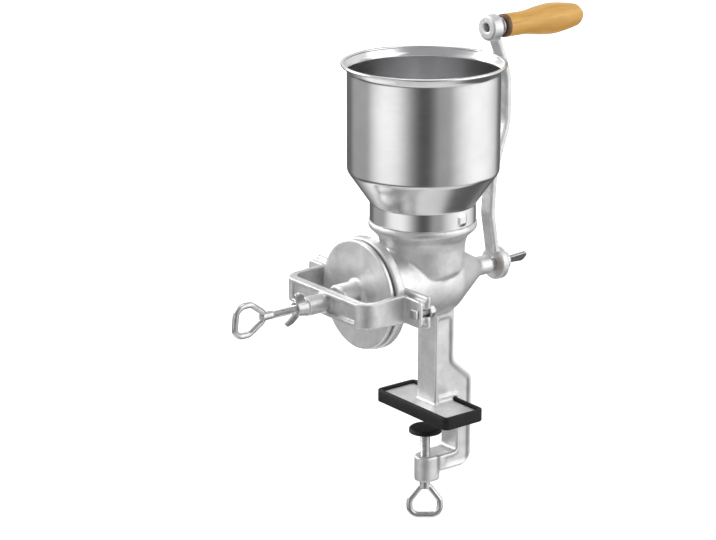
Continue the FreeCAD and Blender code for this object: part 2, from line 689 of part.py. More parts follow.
def fixed_plate():
    """Grinding plate screwed into the flange."""
    plate = grooved_plate(PLATE_SEAT_X, FACE_X + PLATE_SINK, THROAT_R)
    return plate.cut(ring_of(screw_clearance(fixed_screw_stations()), FIXED_SCREWS_TURN))


def turning_plate():
    """Grinding plate screwed into the holder."""
    plate = grooved_plate(TURNING_PLATE_X, TURNING_PLATE_X + PLATE_T, PLATE_BORE_R)
    return plate.cut(ring_of(screw_clearance(turning_screw_stations()), TURNING_SCREWS_TURN))


def plate_holder():
    """Turning disc with a long hub; the hub is bored for the shaft, the ball and the adjusting screw."""
    disc = turned_x([
        (HUB_END_X, 0), (HUB_END_X, HUB_R), (HOLDER_FACE_X, HUB_R), (HOLDER_FACE_X, HOLDER_R),
        (HOLDER_BACK_X, HOLDER_R), (HOLDER_BACK_X, PLATE_R + RUN_FIT), (TURNING_PLATE_X, PLATE_R + RUN_FIT),
        (TURNING_PLATE_X, 0),
    ], radii=[0, 2.0, 3.0, 1.2, 0.6, 0, 0, 0])
    holes = [cylinder_x(SHAFT_R + RUN_FIT, HUB_END_X - 1, TURNING_PLATE_X + 1), drive_pin_bar(RUN_FIT, -1.0)]
    return disc.cut(holes + ring_of(plate_screw(turning_screw_stations(), RUN_FIT), TURNING_SCREWS_TURN))


# ---- Yoke and its screws -----------------------------------------------------------------------------
def yoke():
    """U-shaped frame: a bar with a sunk web and a threaded boss, two arms and two bolt ears."""
    ear_end = YOKE_EAR_X + EAR_T
    inner_half = YOKE_HALF - YOKE_ARM_T
    inner_x = YOKE_BACK_X + YOKE_BAR_T
    outline = [
        (ear_end, -YOKE_HALF), (YOKE_BACK_X, -YOKE_HALF), (YOKE_BACK_X, YOKE_HALF), (ear_end, YOKE_HALF),
        (ear_end, inner_half), (inner_x, inner_half), (inner_x, -inner_half), (ear_end, -inner_half),
    ]
    inner_corner = YOKE_CORNER - YOKE_ARM_T
    radii = [0, YOKE_CORNER, YOKE_CORNER, 0, 0, inner_corner, inner_corner, 0]
    frame = plate_xy(outline, radii, (AXIS_Z - YOKE_ARM_H, AXIS_Z + YOKE_ARM_H))
    side = plate_xz([
        (YOKE_BACK_X - 1, AXIS_Z - YOKE_BAR_H / 2), (inner_x, AXIS_Z - YOKE_BAR_H / 2),
        (YOKE_EAR_X - 8, AXIS_Z - YOKE_ARM_H / 2), (ear_end + 1, AXIS_Z - YOKE_ARM_H / 2),
        (ear_end + 1, AXIS_Z + YOKE_ARM_H / 2), (YOKE_EAR_X - 8, AXIS_Z + YOKE_ARM_H / 2),
        (inner_x, AXIS_Z + YOKE_BAR_H / 2), (YOKE_BACK_X - 1, AXIS_Z + YOKE_BAR_H / 2),
    ], 0.0, wide(2 * YOKE_HALF + 2))
    frame = frame.common(side)
    web = YOKE_BAR_H / 2 - 4.0
    sunk = block((YOKE_BACK_X - 1, YOKE_BACK_X + YOKE_WEB_CUT), wide(2 * (YOKE_HALF - YOKE_CORNER)),
                 (AXIS_Z - web, AXIS_Z + web))
    boss = cylinder_x(YOKE_BOSS_R, YOKE_BACK_X - YOKE_BOSS_L, inner_x + 1.5)
    root = YOKE_HALF - YOKE_ARM_T / 2
    ear = yoke_ear(root)
    whole = fused(frame.cut(sunk), boss, ear, mirrored_y(ear))
    holes = [cylinder_x(ADJUST_R + RUN_FIT, YOKE_BACK_X - YOKE_BOSS_L - 1, inner_x + 3)]
    for y in (-BOLT_Y, BOLT_Y):
        holes.append(cylinder_x(BOLT_R + PASS_GAP, YOKE_EAR_X - 1, ear_end + 1, (y, AXIS_Z)))
    return whole.cut(holes)


def yoke_ear(root):
    """Ear of the yoke on the +Y side, with rounded outer corners."""
    points = [V(YOKE_EAR_X, y, AXIS_Z + z) for y, z in rectangle((root, EAR_REACH), wide(YOKE_EAR_H))]
    face = Part.Face(rounded_wire(points, [0, 4.0, 4.0, 0]))
    return face.extrude(V(EAR_T, 0, 0))


def yoke_bolt(y):
    """Square-headed bolt through a yoke ear and a body ear."""
    head = block((YOKE_EAR_X - BOLT_HEAD_T, YOKE_EAR_X), (y - BOLT_HEAD / 2, y + BOLT_HEAD / 2),
                 (AXIS_Z - BOLT_HEAD / 2, AXIS_Z + BOLT_HEAD / 2))
    tip = EAR_BACK_X + WASHER_T + NUT_T + BOLT_END
    return fused(head, cylinder_x(BOLT_R, YOKE_EAR_X - 1, tip, (y, AXIS_Z)))


def yoke_washer(y):
    """Washer behind a body ear."""
    end = EAR_BACK_X + WASHER_T
    disc = cylinder_x(WASHER_R, EAR_BACK_X, end, (y, AXIS_Z))
    return disc.cut(cylinder_x(BOLT_R + RUN_FIT, EAR_BACK_X - 1, end + 1, (y, AXIS_Z)))


def yoke_nut(y):
    """Hexagon nut behind its washer."""
    start = EAR_BACK_X + WASHER_T
    nut = hexagon_x(NUT_FLATS, start, start + NUT_T, (y, AXIS_Z))
    return nut.cut(cylinder_x(BOLT_R + RUN_FIT, start - 1, start + NUT_T + 1, (y, AXIS_Z)))


def on_both_sides(maker):
    """The same fastener at both ears."""
    return Part.makeCompound([maker(-BOLT_Y), maker(BOLT_Y)])


def ring_handle():
    """Stirrup-shaped ring that hangs from the origin along -Z, in the XZ plane."""
    half = RING_WIDE / 2 - RING_WIRE_R
    low = RING_WIRE_R - RING_LONG
    shoulder = low * 0.5
    outline = [(-4.5, -1.5), (-half, shoulder), (-half, low), (half, low), (half, shoulder), (4.5, -1.5)]
    path = rounded_wire([V(x, 0, z) for x, z in outline], [4.0, 7.0, 9.0, 9.0, 7.0, 4.0])
    start = path.Edges[0].Vertexes[0].Point
    along = path.Edges[0].tangentAt(path.Edges[0].FirstParameter)
    section = Part.Wire(Part.makeCircle(RING_WIRE_R, start, along))
    return swept_bar(path, section)


def adjusting_screw():
    """Screw with a ring handle that pushes the ball through the yoke's boss."""
    ring = ring_handle()
    ring.rotate(V(0, 0, 0), V(0, 1, 0), 90)
    ring.rotate(V(0, 0, 0), V(1, 0, 0), ADJUST_RING_TURN)
    ring.translate(V(ADJUST_OUT_X, 0, AXIS_Z))
    return fused(cylinder_x(ADJUST_R, ADJUST_OUT_X - 2.0, ADJUST_TIP_X), ring)


def wing_lock_nut():
    """Wing nut that locks the adjusting screw against the yoke's boss."""
    seat = YOKE_BACK_X - YOKE_BOSS_L
    outer = seat - WING_NUT_L
    barrel = turned_x([(seat, 0), (seat, WING_NUT_R), (outer, WING_NUT_R - 1.8), (outer, 0)])
    wing = plate_xz([
        (seat - 2.0, AXIS_Z), (seat - 3.0, AXIS_Z + WING_NUT_R), (seat - 8.0, AXIS_Z + WING_SPAN - 3),
        (outer - 2.0, AXIS_Z + WING_SPAN), (outer - 7.0, AXIS_Z + WING_SPAN - 3),
        (outer - 1.0, AXIS_Z + WING_NUT_R), (outer + 1.0, AXIS_Z),
    ], [0, 2.0, 4.0, 3.0, 3.0, 3.0, 0], wide(WING_T))
    nut = fused(barrel, around_x(wing, WING_LEAN), around_x(wing, 180 + WING_LEAN))
    return nut.cut(cylinder_x(ADJUST_R + RUN_FIT, outer - 6, seat + 1))


# ---- Crank and grip ----------------------------------------------------------------------------------
def arm_section(at, heading, width):
    """Rounded section of the arm, square to its path."""
    across = V(0, 1, 0).cross(heading)
    corners = [at + across * (a * ARM_T / 2) + V(0, b * width / 2, 0)
               for a, b in ((-1, -1), (1, -1), (1, 1), (-1, 1))]
    return rounded_wire(corners, 1.8)


def crank_arm():
    """Bowed arm with a hub for the shaft and an eye for the grip's bolt."""
    hub = turned_x([
        (CRANK_X, 0), (CRANK_X, CRANK_HUB_R), (CRANK_NOSE_X, CRANK_HUB_R), (CRANK_NOSE_X, CRANK_NOSE_R),
        (CRANK_TIP_X, CRANK_NOSE_R), (CRANK_TIP_X, 0),
    ], radii=[0, 1.5, 2.5, 2.0, 1.5, 0])
    eye = turned_x([
        (EYE_X, 0), (EYE_X, EYE_R), (EYE_END_X, EYE_R), (EYE_END_X, 0),
    ], at=GRIP_AXLE, radii=[0, 1.5, 1.5, 0])
    eye_x = (EYE_X + EYE_END_X) / 2
    waist_x = CRANK_X - ARM_LEAN_IN
    bow_x = CRANK_X + ARM_BOW_OUT
    route = [
        (CRANK_X, AXIS_Z + ARM_ROOT_Z), (waist_x, AXIS_Z + ARM_LEAN_Z),
        (waist_x + 3.2, AXIS_Z + 0.40 * CRANK_LENGTH), (bow_x, AXIS_Z + 0.60 * CRANK_LENGTH),
        (bow_x, EYE_Z - ARM_BOW_END), (bow_x - 7.5, EYE_Z - 0.53 * ARM_BOW_END), (eye_x + 1.5, EYE_Z - 3.5),
    ]
    path = rounded_wire([V(x, 0, z) for x, z in route], [0, 26.0, 60.0, 45.0, 40.0, 60.0, 0], closed=False)
    first, last = path.Edges[0], path.Edges[-1]
    root = arm_section(first.valueAt(first.FirstParameter), first.tangentAt(first.FirstParameter), ARM_ROOT_W)
    tip = arm_section(last.valueAt(last.LastParameter), last.tangentAt(last.LastParameter), ARM_W)
    arm = path.makePipeShell([root, tip], True, True)
    crank = fused(hub, eye, arm)
    shaft_hole = cylinder_x(SHAFT_R + RUN_FIT, CRANK_X - 1, SHAFT_END_X + PASS_GAP)
    shaft_hole = shaft_hole.cut(driving_flat(CRANK_X - 2, SHAFT_END_X + 2, RUN_FIT))
    screw_hole = cylinder_x(THUMB_R + RUN_FIT, CRANK_X, CRANK_TIP_X + 1)
    bolt_hole = cylinder_x(GRIP_BOLT_R + RUN_FIT, EYE_X - 1, EYE_END_X + 1, GRIP_AXLE)
    return crank.cut([shaft_hole, screw_hole, bolt_hole])


def crank_thumb_screw():
    """Thumb screw in the shaft's end that holds the crank on."""
    collar_end = CRANK_TIP_X + 2.5
    shank = cylinder_x(THUMB_R, CRANK_X + 3, CRANK_TIP_X + 1)
    collar = cylinder_x(2 * THUMB_R, CRANK_TIP_X, collar_end)
    blade_end = collar_end + THUMB_BLADE_L
    root = THUMB_R + 1.0
    blade = plate_xz([
        (collar_end - 1, AXIS_Z - root), (blade_end, AXIS_Z - THUMB_BLADE_W / 2),
        (blade_end, AXIS_Z + THUMB_BLADE_W / 2), (collar_end - 1, AXIS_Z + root),
    ], [0, 4.0, 4.0, 0], wide(THUMB_R))
    return fused(shank, collar, around_x(blade, THUMB_LEAN))


def grip_bolt():
    """Long bolt screwed into the eye; its head sits sunk in the grip's far end."""
    head_x = GRIP_X + GRIP_L - GRIP_WELL
    tip_x = EYE_X + GRIP_BOLT_SHORT
    return turned_x([
        (tip_x, 0), (tip_x, GRIP_BOLT_R), (head_x, GRIP_BOLT_R), (head_x, GRIP_HEAD_R),
        (head_x + GRIP_HEAD_T, GRIP_HEAD_R), (head_x + GRIP_HEAD_T, 0),
    ], at=GRIP_AXLE)


def grip_lock_nut():
    """Thin nut that locks the bolt in the eye."""
    nut = hexagon_x(GRIP_NUT_FLATS, EYE_END_X, EYE_END_X + GRIP_GAP - GRIP_WASHER_SPACE, GRIP_AXLE)
    return nut.cut(cylinder_x(GRIP_BOLT_R + RUN_FIT, EYE_END_X - 1, GRIP_X, GRIP_AXLE))


def grip_washer():
    """Washer that the grip turns against."""
    start = EYE_END_X + GRIP_GAP - GRIP_WASHER_SPACE
    end = GRIP_X - PASS_GAP
    disc = cylinder_x(GRIP_WASHER_R, start, end, GRIP_AXLE)
    return disc.cut(cylinder_x(GRIP_BOLT_R + RUN_FIT, start - 1, end + 1, GRIP_AXLE))


def wooden_grip():
    """Turned grip, slim by the arm and swelling to a bulb near its rounded end."""
    end = GRIP_X + GRIP_L
    outline = [
        V(GRIP_X, 0, EYE_Z + GRIP_END_R - 1.5), V(GRIP_X + 1.5, 0, EYE_Z + GRIP_END_R),
        V(GRIP_X + 0.30 * GRIP_L, 0, EYE_Z + GRIP_END_R + 0.2),
        V(GRIP_X + 0.48 * GRIP_L, 0, EYE_Z + (GRIP_END_R + GRIP_BULB_R) / 2 + 0.9),
        V(GRIP_X + 0.64 * GRIP_L, 0, EYE_Z + GRIP_BULB_R),
        V(GRIP_X + 0.80 * GRIP_L, 0, EYE_Z + GRIP_BULB_R - 1.6),
        V(end - 4.0, 0, EYE_Z + GRIP_BULB_R - 4.6), V(end, 0, EYE_Z + GRIP_BULB_R - 8.0),
    ]
    swell = Part.BSplineCurve()
    swell.interpolate(outline[1:7])
    edges = [
        Part.LineSegment(V(GRIP_X, 0, EYE_Z), outline[0]).toShape(),
        Part.LineSegment(outline[0], outline[1]).toShape(),
        swell.toShape(),
        Part.LineSegment(outline[6], outline[7]).toShape(),
        Part.LineSegment(outline[7], V(end, 0, EYE_Z)).toShape(),
        Part.LineSegment(V(end, 0, EYE_Z), V(GRIP_X, 0, EYE_Z)).toShape(),
    ]
    body = Part.Face(Part.Wire(edges)).revolve(V(0, 0, EYE_Z), V(1, 0, 0), 360)
    counterbore = cylinder_x(GRIP_HEAD_R + PASS_GAP, end - GRIP_WELL - PASS_GAP, end + 1, GRIP_AXLE)
    return body.cut([cylinder_x(GRIP_BOLT_R + RUN_FIT, GRIP_X - 1, end, GRIP_AXLE), counterbore])


# ---- Clamp screw ---------------------------------------------------------------------------------------
def clamp_screw():
    """Clamp screw with a ring handle below and a neck above that carries the swivel foot."""
    ring = ring_handle()
    ring.rotate(V(0, 0, 0), V(0, 0, 1), CLAMP_RING_TURN)
    ring.translate(V(CLAMP_X, 0, CLAMP_RING_Z))
    at = (CLAMP_X, 0.0)
    shoulder = FOOT_BOTTOM_Z - PASS_GAP
    rod = cylinder_z(CLAMP_R, CLAMP_RING_Z - 2.0, shoulder, at)
    neck = cylinder_z(NECK_PIN_R, shoulder - 1.0, RIVET_SEAT_Z, at)
    screw = fused(rod, neck, ring)
    return screw.cut(cylinder_z(RIVET_R, RIVET_SEAT_Z - RIVET_L, RIVET_SEAT_Z + 1.0, at))


def swivel_rivet():
    """Rivet in the screw's end; its head keeps the foot on and lets it turn."""
    at = (CLAMP_X, 0.0)
    shank = cylinder_z(RIVET_R - PRESS_GAP, RIVET_SEAT_Z - RIVET_L, RIVET_SEAT_Z + 0.2, at)
    return fused(shank, cylinder_z(RIVET_HEAD_R, RIVET_SEAT_Z, FOOT_TOP_Z - PASS_GAP, at))


def swivel_foot():
    """Steel pressure disc with a collar that turns on the screw's neck."""
    at = (CLAMP_X, 0.0)
    disc = cylinder_z(FOOT_R, FOOT_BOTTOM_Z, FOOT_TOP_Z, at)
    recess = cylinder_z(RIVET_HEAD_R + PASS_GAP, RIVET_SEAT_Z - RUN_FIT, FOOT_TOP_Z + 1.0, at)
    return disc.cut([cylinder_z(NECK_PIN_R + RUN_FIT, FOOT_BOTTOM_Z - 1, FOOT_TOP_Z, at), recess])


def swivel_cap():
    """Rubber cap over the foot that presses on the table's underside."""
    at = (CLAMP_X, 0.0)
    cup = cylinder_z(FOOT_R + CAP_WALL, FOOT_BOTTOM_Z, CAP_TOP_Z, at)
    cup = cup.makeFillet(1.0, [e for e in cup.Edges if abs(e.CenterOfMass.z - CAP_TOP_Z) < 1e-3])
    return cup.cut(cylinder_z(FOOT_R, FOOT_BOTTOM_Z - 1, FOOT_TOP_Z, at))


PIECES = {
    "hopper_shell": hopper_shell,
    "mill_body": mill_body,
    "shaft_bush": shaft_bush,
    "foot_pad": foot_pad,
    "feed_auger": feed_auger,
    "fixed_plate": fixed_plate,
    "fixed_plate_screws": fixed_plate_screws,
    "turning_plate": turning_plate,
    "turning_plate_screws": turning_plate_screws,
    "plate_holder": plate_holder,
    "drive_pin": lambda: drive_pin_bar(0.0, 0.5),
    "thrust_ball": lambda: Part.makeSphere(BALL_R, V(BALL_X, 0, AXIS_Z)),
    "yoke": yoke,
    "yoke_bolts": lambda: on_both_sides(yoke_bolt),
    "yoke_washers": lambda: on_both_sides(yoke_washer),
    "yoke_nuts": lambda: on_both_sides(yoke_nut),
    "adjusting_screw": adjusting_screw,
    "wing_lock_nut": wing_lock_nut,
    "crank_arm": crank_arm,
    "crank_thumb_screw": crank_thumb_screw,
    "grip_bolt": grip_bolt,
    "grip_lock_nut": grip_lock_nut,
    "grip_washer": grip_washer,
    "wooden_grip": wooden_grip,
    "clamp_screw": clamp_screw,
    "swivel_rivet": swivel_rivet,
    "swivel_foot": swivel_foot,
    "swivel_cap": swivel_cap,
}

os.makedirs("parts", exist_ok=True)
for name, maker in PIECES.items():
    piece = maker()
    if not piece.isValid() or not piece.Solids:
        raise RuntimeError(name + " isn't a valid solid")
    print(f"{name:24s} solids {len(piece.Solids)}  volume {piece.Volume / 1000:9.2f} cm3")
    piece.exportStep("parts/" + name + ".step")
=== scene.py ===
"""How the hand crank grain mill looks: cast body, sheet hopper, yoke, screws, crank and wooden grip.

Metres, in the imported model's frame: +Z up, +X along the auger towards the crank, -Y towards the user.
The sections follow the mill as it is put together.
"""
import json
from math import cos, radians, sin

import bmesh
import bpy
import numpy as np
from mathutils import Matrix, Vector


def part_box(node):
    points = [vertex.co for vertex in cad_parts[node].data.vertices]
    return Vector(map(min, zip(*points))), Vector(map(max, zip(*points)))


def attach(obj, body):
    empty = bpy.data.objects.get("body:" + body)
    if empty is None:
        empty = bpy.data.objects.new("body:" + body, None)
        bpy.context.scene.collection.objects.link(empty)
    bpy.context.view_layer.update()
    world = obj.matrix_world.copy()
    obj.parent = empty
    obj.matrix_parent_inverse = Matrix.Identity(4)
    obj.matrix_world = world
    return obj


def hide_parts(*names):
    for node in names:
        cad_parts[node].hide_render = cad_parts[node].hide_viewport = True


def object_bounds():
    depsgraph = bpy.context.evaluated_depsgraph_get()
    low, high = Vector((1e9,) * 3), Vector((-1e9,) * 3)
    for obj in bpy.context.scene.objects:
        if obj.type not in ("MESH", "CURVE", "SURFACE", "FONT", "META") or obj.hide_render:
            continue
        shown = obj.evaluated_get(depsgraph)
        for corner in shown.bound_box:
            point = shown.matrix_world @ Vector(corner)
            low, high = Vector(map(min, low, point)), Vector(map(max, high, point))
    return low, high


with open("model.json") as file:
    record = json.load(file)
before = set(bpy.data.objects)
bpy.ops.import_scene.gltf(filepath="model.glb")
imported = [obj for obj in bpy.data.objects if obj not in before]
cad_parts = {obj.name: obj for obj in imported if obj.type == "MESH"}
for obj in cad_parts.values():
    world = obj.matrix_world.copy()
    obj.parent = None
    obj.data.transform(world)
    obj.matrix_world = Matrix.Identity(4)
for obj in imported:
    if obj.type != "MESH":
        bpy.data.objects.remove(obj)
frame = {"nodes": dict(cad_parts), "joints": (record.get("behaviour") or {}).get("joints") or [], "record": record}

nodes = frame["nodes"]
joints = {joint["name"]: joint for joint in frame["joints"]}
bodies = frame["record"]["behaviour"]["bodies"]
body_of = {node: body for body, held in bodies.items() for node in held}
cad_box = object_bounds()


# ---- Cast body -------------------------------------------------------------------------------
# One sand casting in grey iron: plate flange, barrel, bearing boss, funnel, leg and clamp frame.
# The mould leaves its edges soft, and a hot dip in tin leaves a pale, slightly mottled skin.
BODY_VOXEL = 0.00135                # grid on which the body's edges are softened
CAST_ROUNDS = 4                     # of relaxing, for a casting
MERGE = 2e-6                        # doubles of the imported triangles

tin_pale = (0.82, 0.82, 0.82, 1.0)
tin_dull = (0.67, 0.67, 0.67, 1.0)
tin_rubbed = (0.86, 0.86, 0.86, 1.0)
# Colour of the corners: dirt, and painted shade where recesses fall into shadow.
tin_dirt_and_shade = (0.42, 0.42, 0.42, 1.0)


def shader(tree, kind, inputs=None, **settings):
    """Adds one shader node. An input given as a socket is linked, and any other is set."""
    made = tree.nodes.new("ShaderNode" + kind)
    for setting, value in settings.items():
        setattr(made, setting, value)
    for name, value in (inputs or {}).items():
        if isinstance(value, bpy.types.NodeSocket):
            tree.links.new(value, made.inputs[name])
        else:
            made.inputs[name].default_value = value
    return made


def mixed(tree, factor, first, second):
    """Colour between two colours."""
    return shader(tree, "Mix", {0: factor, 6: first, 7: second}, data_type="RGBA").outputs[2]


def spread(tree, value, low, high, to_low=0.0, to_high=1.0):
    """A value's range from low to high, moved to another range and held inside it."""
    ends = {"Value": value, "From Min": low, "From Max": high, "To Min": to_low, "To Max": to_high}
    return shader(tree, "MapRange", ends).outputs["Result"]


def figured(tree, operation, *values):
    """One sum on two values, or on three for MULTIPLY_ADD."""
    return shader(tree, "Math", dict(enumerate(values)), operation=operation).outputs["Value"]


def effect_group(name, inputs, outputs):
    """Node group with named number inputs and outputs; returns it, what it is given and what it gives."""
    group = bpy.data.node_groups.new(name, "ShaderNodeTree")
    for label, value in inputs.items():
        socket = group.interface.new_socket(label, in_out="INPUT", socket_type="NodeSocketFloat")
        socket.default_value = value
    for label in outputs:
        group.interface.new_socket(label, in_out="OUTPUT", socket_type="NodeSocketFloat")
    return group, group.nodes.new("NodeGroupInput").outputs, group.nodes.new("NodeGroupOutput").inputs


def metal_skin_group():
    """Uneven metal surface: blotches of tone, a fine grain, and a height that adds the two."""
    group, given, gives = effect_group(
        "metal_skin", {"Grain Size": 0.0012, "Blotch Size": 0.014}, ("Tone", "Grain", "Height"))
    place = shader(group, "TexCoord").outputs["Object"]
    grain = shader(group, "TexNoise", {
        "Vector": place, "Scale": figured(group, "DIVIDE", 1.0, given["Grain Size"]),
        "Detail": 3.0, "Roughness": 0.6}).outputs["Fac"]
    blotch = shader(group, "TexNoise", {
        "Vector": place, "Scale": figured(group, "DIVIDE", 1.0, given["Blotch Size"]),
        "Detail": 4.0, "Roughness": 0.55, "Distortion": 0.4}).outputs["Fac"]
    tone = spread(group, blotch, 0.35, 0.68)
    height = figured(group, "MULTIPLY_ADD", grain, 0.45, blotch)
    for label, value in (("Tone", tone), ("Grain", grain), ("Height", height)):
        group.links.new(value, gives[label])
    return group


def edge_rub_group():
    """Where a soft-edged piece is rubbed bright on its edges, and where its corners take dirt and painted shade.
    """
    group, given, gives = effect_group("edge_rub", {"Edge": 0.035, "Corner": 0.05}, ("Rubbed", "Dirt And Shade"))
    bend = shader(group, "NewGeometry").outputs["Pointiness"]
    edge = spread(group, bend, 0.505, figured(group, "ADD", 0.505, given["Edge"]))
    # Concave places, which are darkened by dirt and by painted shade.
    corner = spread(group, bend, 0.492, figured(group, "SUBTRACT", 0.492, given["Corner"]))
    group.links.new(edge, gives["Rubbed"])
    group.links.new(corner, gives["Dirt And Shade"])
    return group


metal_skin = metal_skin_group()
edge_rub = edge_rub_group()


def new_material(name, fixed):
    """Material with one Principled surface whose plain sockets are set; returns material, tree, surface."""
    made = bpy.data.materials.new(name)
    made.use_nodes = True
    surface = made.node_tree.nodes["Principled BSDF"]
    for socket, value in fixed.items():
        surface.inputs[socket].default_value = value
    return made, made.node_tree, surface


def placed_group(tree, group, **given):
    """The group in this material with its own values; returns its outputs."""
    made = tree.nodes.new("ShaderNodeGroup")
    made.node_tree = group
    for label, value in given.items():
        made.inputs[label.replace("_", " ").title()].default_value = value
    return made.outputs


def raised(tree, surface, height, distance):
    """Bump from a height into the surface's normal."""
    bump = shader(tree, "Bump", {"Height": height, "Distance": distance, "Strength": 1.0})
    tree.links.new(bump.outputs["Normal"], surface.inputs["Normal"])


def skinned_metal(name, pale, dull, gloss, matt, grain_size, blotch_size, depth, metallic=1.0):
    """Metal between two tones and two roughnesses by its own skin, with a bump of the given depth."""
    made, tree, surface = new_material(name, {"Metallic": metallic})
    skin = placed_group(tree, metal_skin, grain_size=grain_size, blotch_size=blotch_size)
    tree.links.new(mixed(tree, skin["Tone"], dull, pale), surface.inputs["Base Color"])
    tree.links.new(spread(tree, skin["Grain"], 0.3, 0.7, gloss, matt), surface.inputs["Roughness"])
    raised(tree, surface, skin["Height"], depth)
    return made


def tinned_casting():
    """Tinned skin, rubbed bright on the edges, and darkened in the corners by dirt and painted shade."""
    made = skinned_metal("tinned_casting", tin_pale, tin_dull, 0.36, 0.52, 0.0014, 0.014, 0.00035, 0.84)
    tree = made.node_tree
    surface = tree.nodes["Principled BSDF"]
    rub = placed_group(tree, edge_rub, edge=0.09, corner=0.12)
    skin_colour = surface.inputs["Base Color"].links[0].from_socket
    # The corners are painted darker: dirt, and painted shade in the recesses.
    dirt_and_shade_painted = mixed(tree, rub["Dirt And Shade"], skin_colour, tin_dirt_and_shade)
    tree.links.new(mixed(tree, rub["Rubbed"], dirt_and_shade_painted, tin_rubbed), surface.inputs["Base Color"])
    return made


cast_tin = tinned_casting()


def merged_mesh(node, name):
    """Copy of a node's loose triangles with their doubles merged."""
    source = bmesh.new()
    source.from_mesh(nodes[node].data)
    bmesh.ops.remove_doubles(source, verts=source.verts, dist=MERGE)
    mesh = bpy.data.meshes.new(name)
    source.to_mesh(mesh)
    source.free()
    return mesh


def new_piece(mesh):
    """Object at the origin for a mesh that is already in place."""
    mesh.polygons.foreach_set("use_smooth", np.ones(len(mesh.polygons), bool))
    piece = bpy.data.objects.new(mesh.name, mesh)
    bpy.context.scene.collection.objects.link(piece)
    return piece


def settled(piece):
    """The piece with its modifiers applied to its mesh."""
    bpy.context.view_layer.update()
    done = piece.evaluated_get(bpy.context.evaluated_depsgraph_get())
    mesh = bpy.data.meshes.new_from_object(done)
    piece.modifiers.clear()
    piece.data = mesh
    mesh.polygons.foreach_set("use_smooth", np.ones(len(mesh.polygons), bool))
    return piece


def soft_edged(piece, voxel, rounds):
    """The piece laid on a voxel grid and relaxed: a round moves each point halfway to its neighbours' mean."""
    grid = piece.modifiers.new("grid", "REMESH")
    grid.mode = "VOXEL"
    grid.voxel_size = voxel
    relax = piece.modifiers.new("relax", "SMOOTH")
    relax.factor = 0.5
    relax.iterations = rounds
    return settled(piece)


def cast_copy(node, voxel, rounds):
    """The node's own shape with the soft edges of a casting."""
    return soft_edged(new_piece(merged_mesh(node, node + "_cast")), voxel, rounds)


def stands_for(piece, material, *replaced):
    """Gives a new piece its material, and lets it ride and show in the place of its nodes."""
    piece.data.materials.clear()
    piece.data.materials.append(material)
    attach(piece, body_of[replaced[0]])
    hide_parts(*replaced)
    return piece


def dressed(node, material):
    """A node that keeps its own shape gets a material."""
    for slot in nodes[node].material_slots:
        slot.material = material


stands_for(cast_copy("mill_body", BODY_VOXEL, CAST_ROUNDS), cast_tin, "mill_body")


# ---- Shaft bush ------------------------------------------------------------------------------
# Plain turned bronze bush, pressed into the boss from inside the barrel.
# Only its end ring shows, round the shaft behind the crank.
bronze_bright = (0.72, 0.52, 0.27, 1.0)
bronze_dull = (0.50, 0.35, 0.17, 1.0)
turned_bronze = skinned_metal("turned_bronze", bronze_bright, bronze_dull, 0.25, 0.4, 0.0006, 0.006, 0.00005)
dressed("shaft_bush", turned_bronze)


# ---- Rubber foot pad -------------------------------------------------------------------------
# Moulded black rubber boot, stretched over the foot plate so that its rim stands round the edge.
# The mould breaks its edges, and handling leaves it faintly grey.
PAD_EDGE = 0.0011
rubber_black = (0.0075, 0.0075, 0.0075, 1.0)
rubber_dusty = (0.013, 0.013, 0.013, 1.0)


def moulded_rubber():
    """Matt black with a fine orange-peel height and a little dust."""
    made, tree, surface = new_material("moulded_rubber", {"Specular IOR Level": 0.35})
    skin = placed_group(tree, metal_skin, grain_size=0.0009, blotch_size=0.011)
    tree.links.new(mixed(tree, skin["Tone"], rubber_black, rubber_dusty), surface.inputs["Base Color"])
    tree.links.new(spread(tree, skin["Grain"], 0.3, 0.7, 0.5, 0.68), surface.inputs["Roughness"])
    raised(tree, surface, skin["Height"], 0.00018)
    return made


def edged_copy(node, width, steps=2):
    """The node's own shape with its flat facets joined and each sharp edge broken by a bevel."""
    mesh = merged_mesh(node, node + "_edged")
    source = bmesh.new()
    source.from_mesh(mesh)
    bmesh.ops.dissolve_limit(source, angle_limit=radians(1.0), verts=source.verts, edges=source.edges)
    source.to_mesh(mesh)
    source.free()
    piece = new_piece(mesh)
    bevel = piece.modifiers.new("broken_edges", "BEVEL")
    bevel.width = width
    bevel.segments = steps
    bevel.limit_method = "ANGLE"
    bevel.angle_limit = radians(35.0)
    bevel.harden_normals = True
    return piece


black_rubber = moulded_rubber()
stands_for(edged_copy("foot_pad", PAD_EDGE, 3), black_rubber, "foot_pad")


# ---- Sheet hopper ----------------------------------------------------------------------------
# Spun from thin stainless sheet: neck, cone, tall wall and a flared lip rolled over a bead.
# Two locks pressed in the neck turn over lugs on the body. The outside is polished.
WALL = 0.0009                       # thickness of the sheet
FLARE = 0.0043                      # of the lip, outwards
FLARE_H = 0.0065
BEAD_R = 0.0016
NECK_R = 0.0505
NECK_H = 0.018
CONE_H = 0.031
LOCK_AT = (radians(-82.0), radians(98.0))
LOCK_HALF_TURN = 0.1                # radians
LOCK_HALF_H = 0.0046
LOCK_RISE = 0.0011
LOCK_SOFT = 0.0011                  # width of a lock's sloping edge
BEND_RADII = (0, 0.003, 0.009, 0.007, 0)
HOPPER_SPACING = 0.0016             # between the points of the profile
HOPPER_COLUMNS = 224
BEAD_ROWS = 14

steel_bright = (0.86, 0.86, 0.865, 1.0)
steel_dull = (0.76, 0.76, 0.77, 1.0)


